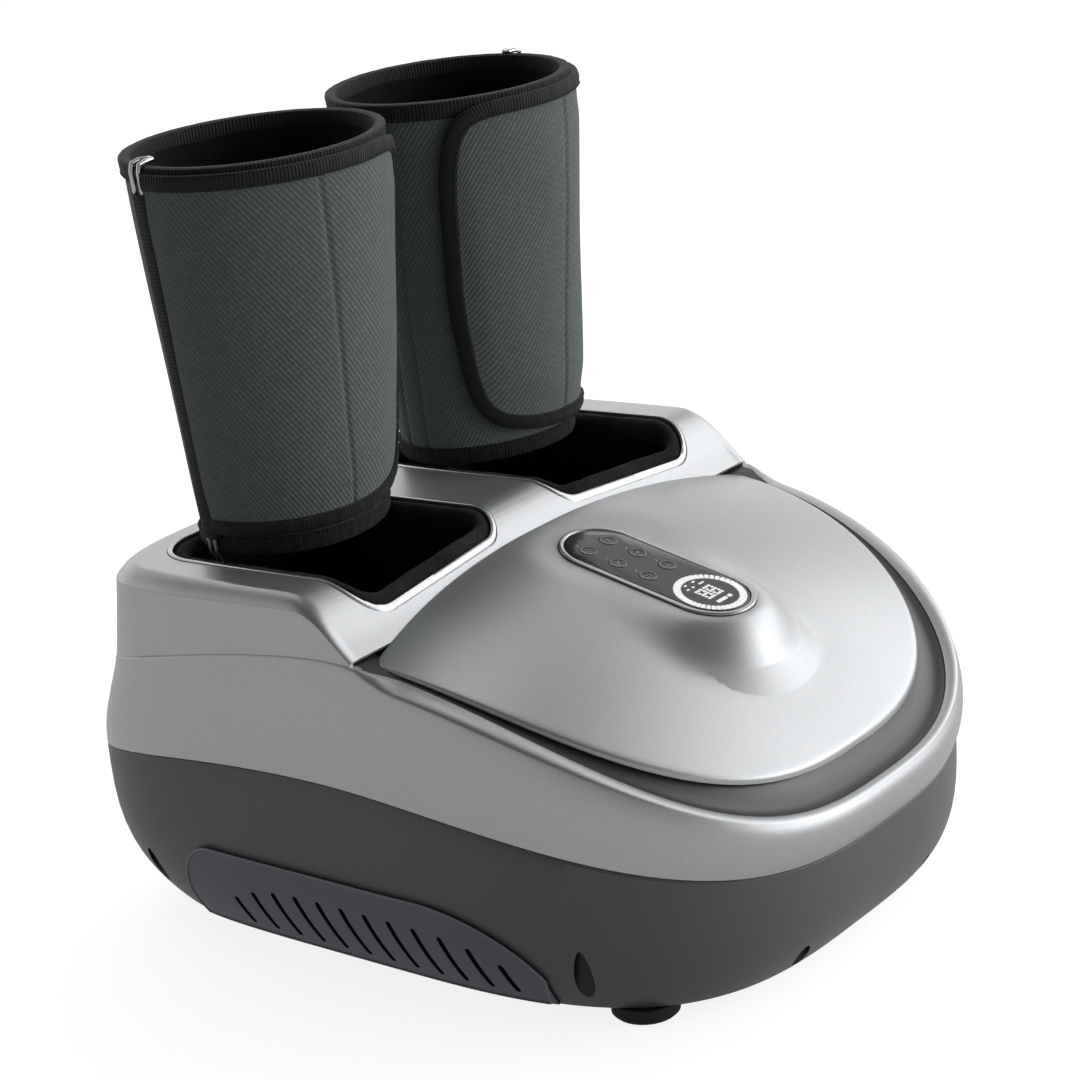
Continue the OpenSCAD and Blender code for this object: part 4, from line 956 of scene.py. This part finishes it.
def key_mark(n, at):
    """A plain printed sign on a key: strokes only, each key with its own."""
    x, y = at
    low, high = 1.12, 1.3
    signs = (
        [(0, 0, 2.6, 0.6, 90), (-1.5, 0, 1.6, 0.5, 60), (1.5, 0, 1.6, 0.5, -60)],
        [(0, 0, 3.6, 0.9, 35), (-0.9, 1.1, 1.5, 0.5, -40), (0.9, -1.1, 1.5, 0.5, -40)],
        [(-1.0, 0, 2.6, 0.5, 90), (1.0, 0, 2.6, 0.5, 90)],
        [(0, 1.2, 3.0, 0.5, 0), (0, 0, 3.0, 0.5, 0), (0, -1.2, 3.0, 0.5, 0)],
        [(0, 0, 3.6, 0.9, 35), (1.2, 0.9, 1.2, 0.5, 80), (-1.2, -0.9, 1.2, 0.5, 80)],
        [(0, 0.6, 2.2, 0.5, 90), (-1.2, -0.6, 1.8, 0.5, 30), (1.2, -0.6, 1.8, 0.5, -30)],
    )
    return [bar_on((x + a * 1.2, y + b * 1.2), l * 1.25, w * 1.25, t, low, high) for a, b, l, w, t in signs[n]]


# ---------------------------------------------------------------- vents

def vent_z(y):
    a, p = ((y - 98) / 30, 2.2) if y > 98 else ((-40 - y) / 72, 1.9) if y < -40 else (0, 2)
    return 13 + 49 * math.sqrt(max(0.01, 1 - a ** p))


def vent_panel():
    """Louvred panel on the right side, with its pale edge: a painted highlight along the rim."""
    ys = [127 - 236 * (1 - math.cos(math.pi * k / 130)) / 2 for k in range(131)]

    def place(u, v):
        y = ys[round(u * 130)]
        z = mix(9.5, vent_z(y), v)
        return low_half(y, z) + 2.0, y, z

    panel = sheet_by("right_vent_cover", 130, 18, place)
    out = panel.data.polygons[1000].normal.x > 0
    modify(panel, "SOLIDIFY", thickness=1.4 * MM, offset=-1 if out else 1)
    tidy(panel)
    cut(panel, slot_cutters(1, 30, 3.4))
    dress(tidy(panel), VENT_ABS, BLACK_ABS_AND_HOLE_SHADE)
    # slot walls and cut edges take the black finish: painted shade in the slots
    for face in panel.data.polygons:
        face.material_index = 1 if abs(face.normal.x) < 0.35 else 0
    loop = [(127 - 236 * k / 60, 9.5) for k in range(60)] + [(y, vent_z(y)) for y in reversed(ys)]
    loop = even(loop, 260)
    section = [(-0.7, 0.0), (-0.6, 0.45), (-0.2, 0.75), (0.3, 0.6), (0.5, 0.1), (0.4, -1.2)]

    def edge(i, j):
        d, h = section[j]
        tangent = (loop[(i + 1) % 260] - loop[i - 1]).normalized()
        p = loop[i] + Vector((tangent.y, -tangent.x)) * d
        return low_half(p.x, max(8.2, p.y)) + 2.0 + h, p.x, max(8.2, p.y)

    # the rim takes the pale finish: a painted highlight where the edge catches light
    return panel, dress(ring_of_sections("right_vent_edge", 260, len(section), edge), VENT_EDGE_HIGHLIGHT)


# ---------------------------------------------------------------- wells

def well_ring():
    """Bright ring round the right well."""
    section = [(3.0, -4), (3.0, 0.2), (2.6, 0.62), (1.7, 0.85), (0.9, 0.7), (0.4, 0.3), (0.4, -4)]
    lines = [well_line(w, 12, 240) for w, _ in section]

    def place(i, j):
        p = lines[j][i]
        return p.x, p.y, top_z(p.y) + section[j][1]

    return dress(ring_of_sections("right_well_ring", 240, len(section), place), BRIGHT)


def well_roll():
    """Padded roll of plush round the mouth of the right well."""
    section = [(0.5, -5.4), (0.4, -3.2), (0.9, -1.7), (2.2, -0.7), (3.8, -0.5), (5.4, -0.9), (6.9, -2.2), (8.2, -4.2),
               (9.0, -7), (9.3, -10), (8.6, -13.2), (7, -15.3), (5.0, -15.3), (4.5, -12), (4.5, -8), (4.4, -5.6)]
    lines = [well_line(3.4 + w, 12, 220) for w, _ in section]

    def place(i, j):
        p = lines[j][i]
        q = lines[(j + 8) % 16][i]
        ripple = 0.14 * math.sin(i * 0.9) + 0.2 * math.sin(i * 0.37 + 1)
        d = (p - q).normalized() * (ripple if 2 < j < 11 else 0)
        return p.x + d.x, p.y + d.y, top_z(p.y) + section[j][1] + (ripple * 0.4 if 2 < j < 8 else 0)

    return dress(ring_of_sections("right_well_roll", 220, 16, place), PLUSH)


ROOF_OUT = [(66, -150), (106, -150), (114, -144), (121, -132), (152, -60), (172, -22), (190, -3.5), (260, -3)]
ROOF_IN = [(66, -146), (104, -146), (110.5, -141), (117, -130), (148, -58), (168.5, -20), (189, 1), (260, 1.5)]


def boot_plan(w, front):
    line = rounded([(25.9 + w, 145.6 - w), (25.9 + w, -30), (34 + w, w - 150), (124 - w, w - 150), (149.1 - w, -50),
                    (149.1 - w, 145.6 - w)], [22.6 - w, 60, 34, 40, 90, 30.6 - w], 10)
    line = even(line, 200)
    return [Vector((p.x, soft_max(p.y, front, 10))) for p in line]


def boot():
    """Soft plush boot of the right well, with creases at the ankle and a cushioned sole."""
    rows = [(66.6, 6), (68, 2), (72, 0.4)]
    rows += [(z, 0.2) for z in (84, 98, 108, 116, 124, 134, 144, 154, 164, 174, 184, 192)]
    rows += [("top", 0.3), ("top", 3.8)]
    rows += [(z, 4) for z in (190, 182, 174, 166, 158, 150, 142, 134, 126, 118, 110, 104, 96, 88, 80, 75)]
    rows += [(72.4, 5.5), (71.2, 8), (70.9, 14), (71.0, 24), (71.1, 34)]
    plans = {}

    def place(row, i):
        z, w = rows[row]
        inner = w >= 3.8
        level = 205 if z == "top" else z
        front = curve_through(ROOF_IN if inner else ROOF_OUT, level)
        key = (min(w, 30), front)
        if key not in plans:
            plans[key] = boot_plan(min(w, 21), front + (max(0, w - 4) if inner else 0))
        p = plans[key][i]
        if w > 21:
            p = Vector((FOOT_X, 0)).lerp(p, 1 - (w - 21) / 40)
        h = top_z(p.y) - 6.6 if z == "top" else level
        if inner and w < 6 and z != "top":
            crease = 0.9 * math.sin(z * 0.21 + 0.7 * math.sin(i * 0.16)) + 0.5 * math.sin(i * 0.31 + z * 0.05)
            m = (Vector((FOOT_X, p.y * 0.4 + 20)) - p).normalized() * max(-0.3, crease)
            p = p + m
        return p.x, p.y, min(h, top_z(p.y) - 6.4) if p.y > -10 else h

    piece = capped_rings("right_boot", 200, len(rows), place)
    return dress(piece, PLUSH)


# ---------------------------------------------------------------- calf wraps

def wrap_at(t, z, o):
    """A place on the right calf wrap: turn in degrees, height, and how far out."""
    k = (z - WRAP_FOOT) / WRAP_RISE
    a = math.radians(t)
    # the cloth swells towards the middle of the body
    o_in = max(0, -math.cos(a)) ** 1.5 * mix(11, 4, k)
    return Vector((FOOT_X - 5.5 * k + (mix(53, 76.5, k) + o) * math.cos(a) - o_in,
                   98 + 3 * k + (mix(49, 65, k) + o) * math.sin(a), z))


def wrap_low(t):
    return WRAP_FOOT - 3.2 * max(0, math.sin(math.radians(t))) ** 4


def wrap_round(z):
    """Mean radius of the wrap at a height."""
    return mix(51, 70.7, (z - WRAP_FOOT) / WRAP_RISE)


def around_mm(t, z):
    return math.radians(t) * wrap_round(z)


def gap_to(a, b):
    return (a - b + 180) % 360 - 180


TUBE_SEAMS = ((186, 166), (193, 184), (95, 95))  # turn at the top and at the foot
FLAP_SEAM = (-74, -85)


def cloth_tube():
    """Padded tube: twill outside, brushed lining inside, drawn in at its seams."""
    outer = [k / 18 for k in range(19)]
    inner = (1, 0.985, 0.96, 0.93, 0.88, 0.78, 0.66, 0.5, 0.34, 0.22, 0.12, 0.07, 0.04, 0.015, 0)
    rows = [(s, "out") for s in outer] + [(1, "top"), (1, "top2")]
    rows += [(s, "in") for s in inner] + [(0, "low2"), (0, "low")]
    around = 300

    def place(i, j):
        t = 360 * i / around
        s, kind = rows[j]
        low = wrap_low(t)
        z = mix(low + 0.2, 423.8, s)
        crown = (1 - (2 * s - 1) ** 6)
        if kind == "out":
            pinch = sum(1.3 * math.exp(-(gap_to(t, mix(b, a, s)) / 1.6) ** 2) for a, b in TUBE_SEAMS)
            soft = 0.35 * math.sin(t * 0.09 + s * 5) + 0.25 * math.sin(t * 0.21 - s * 9)
            return wrap_at(t, z, -3.9 + 0.8 * crown - pinch + 0.3 * soft * crown)
        if kind in ("top", "top2"):
            return wrap_at(t, 424, -4.8 if kind == "top" else -6.4)
        if kind in ("low", "low2"):
            return wrap_at(t, low, -4.8 if kind == "low" else -6.4)
        fold = 0.35 * math.sin(t * 0.13 + s * 7) * crown
        return wrap_at(t, z, -7.2 - 3.8 * step01(0, 0.09, min(s, 1 - s)) + fold)

    def uv(i, j):
        t = 360 * i / around
        s = rows[j % len(rows)][0]
        return around_mm(t, 300) * MM, s * 0.207

    tube = ring_of_sections("right_wrap_cloth", around, len(rows), place, uv)
    dress(tube, CLOTH, LINING)
    for face in tube.data.polygons:
        c = face.center
        k = (c.z * 1000 - WRAP_FOOT) / WRAP_RISE
        side = Vector((c.x * 1000 - FOOT_X + 5.5 * k, c.y * 1000 - 98 - 3 * k))
        face.material_index = 1 if face.normal.xy.dot(side) < 0 else 0
    return tube


def band(name, count, section, at, uv_step=1.0, closed=False, finish=None):
    """A band of a closed section along a path: at(u, d, o) gives the place of section point (d, o)."""
    sides = len(section)

    def place(u, v):
        d, o = section[round(v * sides) % sides]
        return at(u, d, o)

    piece = sheet_by(name, count, sides, place, lambda u, v: (u * uv_step, v * 0.02))
    if not closed:
        mesh = bmesh.new()
        mesh.from_mesh(piece.data)
        bmesh.ops.remove_doubles(mesh, verts=mesh.verts, dist=0.00001)
        bmesh.ops.holes_fill(mesh, edges=[e for e in mesh.edges if e.is_boundary], sides=sides + 2)
        mesh.to_mesh(piece.data)
        mesh.free()
    return dress(tidy(piece), finish or TAPE)


def thread(name, count, at):
    """A row of stitches: one thread that dips under the cloth between them."""
    section = [(0.3 * math.cos(math.pi * k / 3), 0.3 * math.sin(math.pi * k / 3)) for k in range(6)]

    def path(u, d, o):
        step = round(u * count) % 4
        return at(u, d, o + (0.15 if step in (1, 2) else -0.75))

    return band(name, count, section, path, finish=THREAD)


def rim_tape(up):
    """Ribbed tape folded over a rim of the tube, with a row of stitches."""
    section = [(-9, 0.15), (-8.5, 0.7), (-5, 1.0), (-1, 1.05), (0.5, 0.7), (1.05, -0.6), (1.1, -2), (1.05, -3.4),
               (0.5, -4.7), (-1, -5.15), (-5, -5.3), (-8.4, -5.4), (-9, -5.1), (-8, -4.8), (-1, -4.3), (0.0, -3.6),
               (0.0, -0.6), (-1, 0.1), (-8, -0.1)]
    edge = (lambda t: 424) if up else wrap_low
    sign = 1 if up else -1

    def at(u, d, o):
        t = 360 * u
        ripple = 0.12 * math.sin(t * 0.35) + 0.1 * math.sin(t * 0.83)
        return wrap_at(t, edge(t) + sign * d, -3 + o + (ripple if o > -3 else 0))

    name = "top" if up else "foot"
    tape = band("right_%s_tape" % name, 300, section, at, 0.42, True)
    rows = [thread("st", 480, lambda u, d, o: wrap_at(360 * u, edge(360 * u) + sign * (-7.2 + d), -1.95 + o))]
    return tape, rows


# heights of the flap's lower and upper edge by turn in degrees
FLAP_LOW = [(-146, 302), (-145, 290), (-143.5, 270), (-139.5, 252), (-131, 240.5), (-120, 235), (-104, 231.5),
            (-81, 230), (4, 229)]
FLAP_HIGH = [(-146, 320), (-145, 344), (-143.5, 375), (-140.5, 397), (-136.5, 409), (-130, 416.5), (-118, 420),
             (-100, 420.5), (4, 420.5)]


def flap_turns(u):
    """Turns from the flap's seam to its free edge, closer together near the edge."""
    return 4 - 150 * (1 - (1 - u) ** 1.7 * 0.35 - (1 - u) * 0.65)


def flap_cloth():
    """Wide overlapping flap: a crowned padded sheet with one sewn line."""
    def place(u, v):
        t = flap_turns(u)
        z = mix(curve_through(FLAP_LOW, t), curve_through(FLAP_HIGH, t), v)
        edge = step01(0.05, 0.16, 1 - u) * step01(0.045, 0.14, v) * step01(0.045, 0.14, 1 - v)
        pinch = 1.3 * math.exp(-((t - mix(FLAP_SEAM[1], FLAP_SEAM[0], v)) / 1.2) ** 2)
        wave = 0.3 * math.sin(t * 0.11 + v * 6) + 0.2 * math.sin(t * 0.05 - v * 11)
        return wrap_at(t, z, 1.6 + 1.3 * edge - pinch + wave * edge)

    cloth = sheet_by("right_flap_cloth", 170, 60, place, lambda u, v: (around_mm(flap_turns(u), 300) * MM, v * 0.19))
    out = (cloth.data.polygons[60].normal.xy).dot(cloth.data.polygons[60].center.xy - Vector((FOOT_X, 98)) * MM) > 0
    modify(cloth, "SOLIDIFY", thickness=3.2 * MM, offset=-1 if out else 1)
    return dress(tidy(cloth, 60), CLOTH)


def flap_border():
    """Places (t, z) round the flap's bound edges, from the seam's foot to the seam's top."""
    low = [(4 - 150 * (k / 200), 0) for k in range(201)]
    a = [Vector((around_mm(t, 300), curve_through(FLAP_LOW, t))) for t, _ in low]
    b = [Vector((around_mm(t, 300), curve_through(FLAP_HIGH, t))) for t, _ in reversed(low)]
    return even(a + b, 520, False)


def flap_tape():
    line = flap_border()
    section = [(-1.4, 3.2), (0, 4.2), (1.3, 4.65), (3.2, 4.75), (5.6, 4.6), (6.8, 4.1), (7.0, 3.0), (6.4, -0.6),
               (3.2, -0.9), (0, -0.9), (-1.4, -0.4)]

    def at(u, d, o):
        i = min(len(line) - 1, round(u * (len(line) - 1)))
        tangent = (line[min(len(line) - 1, i + 3)] - line[max(0, i - 3)]).normalized()
        p = line[i] + Vector((tangent.y, -tangent.x)) * d
        t = math.degrees(p.x / wrap_round(300))
        ripple = 0.12 * math.sin(i * 0.5) if o > 2 else 0
        return wrap_at(t, p.y, -1.2 + o * 0.93 + ripple)

    tape = band("right_flap_tape", 519, section, at, 0.6)
    rows = [thread("st", 996, lambda u, d, o: at(mix(0.02, 0.98, u), 5.8 + d, 4.75 + o))]
    return tape, rows


def sleeve():
    """Narrow black sleeve that holds the steel stay against the tube."""
    section = [(-7.6, 0.1), (-7.0, 2.4), (-5.8, 4.1), (-3.4, 4.9), (3.4, 4.9), (5.8, 4.1), (7.0, 2.4), (7.6, 0.1),
               (6.4, 0.3), (5.2, 3.4), (3.2, 4.25), (-3.2, 4.25), (-5.2, 3.4), (-6.4, 0.3)]

    def at(u, d, o):
        z = mix(224, 411, u)
        return wrap_at(10 + math.degrees(d * 1.02 / wrap_round(z)), z, -3 + o)

    return band("right_stay_sleeve", 60, section, at, 0.18)


def calf_cell():
    """Soft air cell under the lining, behind the calf."""
    def place(u, v):
        t = mix(40, 140, u)
        z = mix(245, 400, v)
        e = (1 - (2 * u - 1) ** 4) * (1 - (2 * v - 1) ** 4)
        return wrap_at(t, z, -11.9 - 3.2 * e ** 0.6 - 0.2 * math.sin(v * 30) * e)

    cell = sheet_by("right_calf_cell", 50, 50, place)
    modify(cell, "SOLIDIFY", thickness=0.6 * MM, offset=0)
    return dress(tidy(cell), LINING)


# ---------------------------------------------------------------- putting it together

def rest_on(piece, body, slot_name, *stands_for):
    if stands_for:
        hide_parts(*stands_for)
    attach(piece, body)
    return piece


rest_on(lower_casing(), "frame", "lower_casing_plastic", "lower_housing")
rest_on(upper_casing(), "frame", "silver_casing_plastic", "upper_housing")
rest_on(cove_strip(), "frame", "silver_casing_plastic", "cove_trim")
rest_on(tower_walls(), "frame", "silver_casing_plastic", "tower_wall")
rest_on(top_frame(), "frame", "silver_casing_plastic", "rear_cowl")
rest_on(lid(), "frame", "silver_casing_plastic", "top_lid")
for piece in control_panel():
    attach(piece, "frame")


def both_sides(make, body, slot_name, *stands_for, pad=None):
    """Right piece and its mirrored twin; body and nodes name the side after an underscore mark."""
    right = make()
    left = mirrored(right, right.name.replace("right", "left"))
    for side, piece in (("right", right), ("left", left)):
        rest_on(piece, body.replace("*", side), slot_name, *[n.replace("*", side) for n in stands_for])


vent, vent_edge = vent_panel()
both_sides(lambda: vent, "frame", "vent_panel_plastic", "*_vent_panel")
both_sides(lambda: vent_edge, "frame", "vent_panel_plastic")
both_sides(well_ring, "frame", "bright_trim", "*_well_trim")
both_sides(well_roll, "frame", "plush_fabric", "*_well_lip", pad=0.9)
both_sides(boot, "frame", "plush_fabric", "*_foot_liner", pad=0.5)
both_sides(cloth_tube, "*_calf_wrap", "wrap_fabric", "*_wrap", pad=0.7)
top_tape, top_rows = rim_tape(True)
foot_tape, foot_rows = rim_tape(False)
both_sides(lambda: joined("right_rim_tape", [top_tape, foot_tape]), "*_calf_wrap", "binding_fabric", "*_wrap_binding")
both_sides(lambda: joined("right_rim_stitches", top_rows + foot_rows), "*_calf_wrap", "binding_fabric")
both_sides(sleeve, "*_calf_wrap", "binding_fabric")
both_sides(calf_cell, "*_calf_wrap", "airbag_fabric", "*_calf_airbag", pad=0.6)
both_sides(flap_cloth, "*_wrap_flap", "wrap_fabric", "*_flap", pad=0.7)
edge_tape, edge_rows = flap_tape()
both_sides(lambda: edge_tape, "*_wrap_flap", "binding_fabric")
both_sides(lambda: joined("right_flap_stitches", edge_rows), "*_wrap_flap", "binding_fabric")

KEPT = {"rubber_feet": RUBBER, "housing_screws": PLATE, "power_inlet": BLACK_ABS_AND_HOLE_SHADE, "control_board": BOARD,
        "display_board": BOARD, "air_pump": MOTOR, "valve_block": BLACK_ABS_AND_HOLE_SHADE, "air_hoses": SILICONE}
for side in ("left", "right"):
    KEPT.update({side + "_mechanism_plate": PLATE, side + "_motor": MOTOR, side + "_pinion": BRASS,
                 side + "_front_wheel": ACETAL, side + "_rear_wheel": ACETAL, side + "_front_head": NYLON,
                 side + "_rear_head": NYLON, side + "_heater_pad": FILM, side + "_foot_airbag": BLADDER,
                 side + "_wrap_stay": STEEL})
for name, finish in KEPT.items():
    for place in nodes[name].material_slots:
        place.material = finish

# ---------------------------------------------------------------- floor, light and camera

drop_selection()
bpy.ops.mesh.primitive_grid_add(x_subdivisions=4, y_subdivisions=4, size=24, location=(0, 0, 0))
floor = bpy.context.object
floor.name = "floor"
paper = new_finish("matt_white_paper")
ray = add(paper, "LightPath")
mirror = add(paper, "Math", {1: 0.36}, {0: ray.outputs["Is Glossy Ray"]}, operation="MULTIPLY")
glow = add(paper, "Math", {1: 0.85}, {0: ray.outputs["Is Camera Ray"], 2: mirror.outputs["Value"]},
           operation="MULTIPLY_ADD")
close_finish(paper, {"Base Color": linear("#B6B6B6"), "Roughness": 0.9, "Specular IOR Level": 0.0,
                     "Emission Color": linear("#FFFFFF")}, {"Emission Strength": glow.outputs["Value"]})
dress(floor, paper)

world = bpy.data.worlds.new("studio")
bpy.context.scene.world = world
world.use_nodes = True
# the studio is bright along the horizon on the far side, and dim overhead and towards the camera
toward = add(world, "VectorMath", {1: Vector((0.38, 0.2, -0.9)).normalized()},
             {0: add(world, "TexCoord").outputs["Generated"]}, operation="DOT_PRODUCT")
level = add(world, "MapRange", {"From Min": -0.72, "From Max": 0.26, "To Min": 0.08, "To Max": 1.2},
            {"Value": toward.outputs["Value"]})
world.node_tree.links.new(level.outputs["Result"], world.node_tree.nodes["Background"].inputs["Strength"])
world.node_tree.nodes["Background"].inputs["Color"].default_value = linear("#FFFFFF")


def softbox(name, spot, aim, size, power):
    lamp = bpy.data.lights.new(name, "AREA")
    lamp.shape = "RECTANGLE"
    lamp.size, lamp.size_y = size
    lamp.energy = power
    piece = bpy.data.objects.new(name, lamp)
    bpy.context.scene.collection.objects.link(piece)
    piece.location = spot
    piece.rotation_euler = (Vector(aim) - Vector(spot)).to_track_quat("-Z", "Y").to_euler()
    return piece


softbox("key_light", (2.3, -1.3, 1.6), (0, 0, 0.15), (2.6, 2.0), 26)
softbox("fill_light", (1.3, -2.3, 0.8), (0, 0, 0.15), (1.8, 1.4), 16)
softbox("top_light", (0.6, 1.2, 2.6), (0, 0, 0.2), (2.4, 2.0), 14)

AZ, EL, ROLL, FAR = math.radians(-51.346), math.radians(18.722), math.radians(-4.949), 1.623572
back = Vector((math.sin(AZ) * math.cos(EL), -math.cos(AZ) * math.cos(EL), math.sin(EL)))
right = Vector((math.cos(AZ), math.sin(AZ), 0))
up = back.cross(right)
r_axis = right * math.cos(ROLL) + up * math.sin(ROLL)
u_axis = -right * math.sin(ROLL) + up * math.cos(ROLL)
eye = bpy.data.cameras.new("camera")
eye.lens = 100
eye.sensor_width = 36
eye.clip_end = 60
camera = bpy.data.objects.new("camera", eye)
bpy.context.scene.collection.objects.link(camera)
spot = Vector((0, -0.000743, 0.19275)) + back * FAR
camera.matrix_world = Matrix(((r_axis.x, u_axis.x, back.x, spot.x), (r_axis.y, u_axis.y, back.y, spot.y),
                              (r_axis.z, u_axis.z, back.z, spot.z), (0, 0, 0, 1)))
bpy.context.scene.camera = camera
bpy.context.scene.view_settings.view_transform = "Standard"
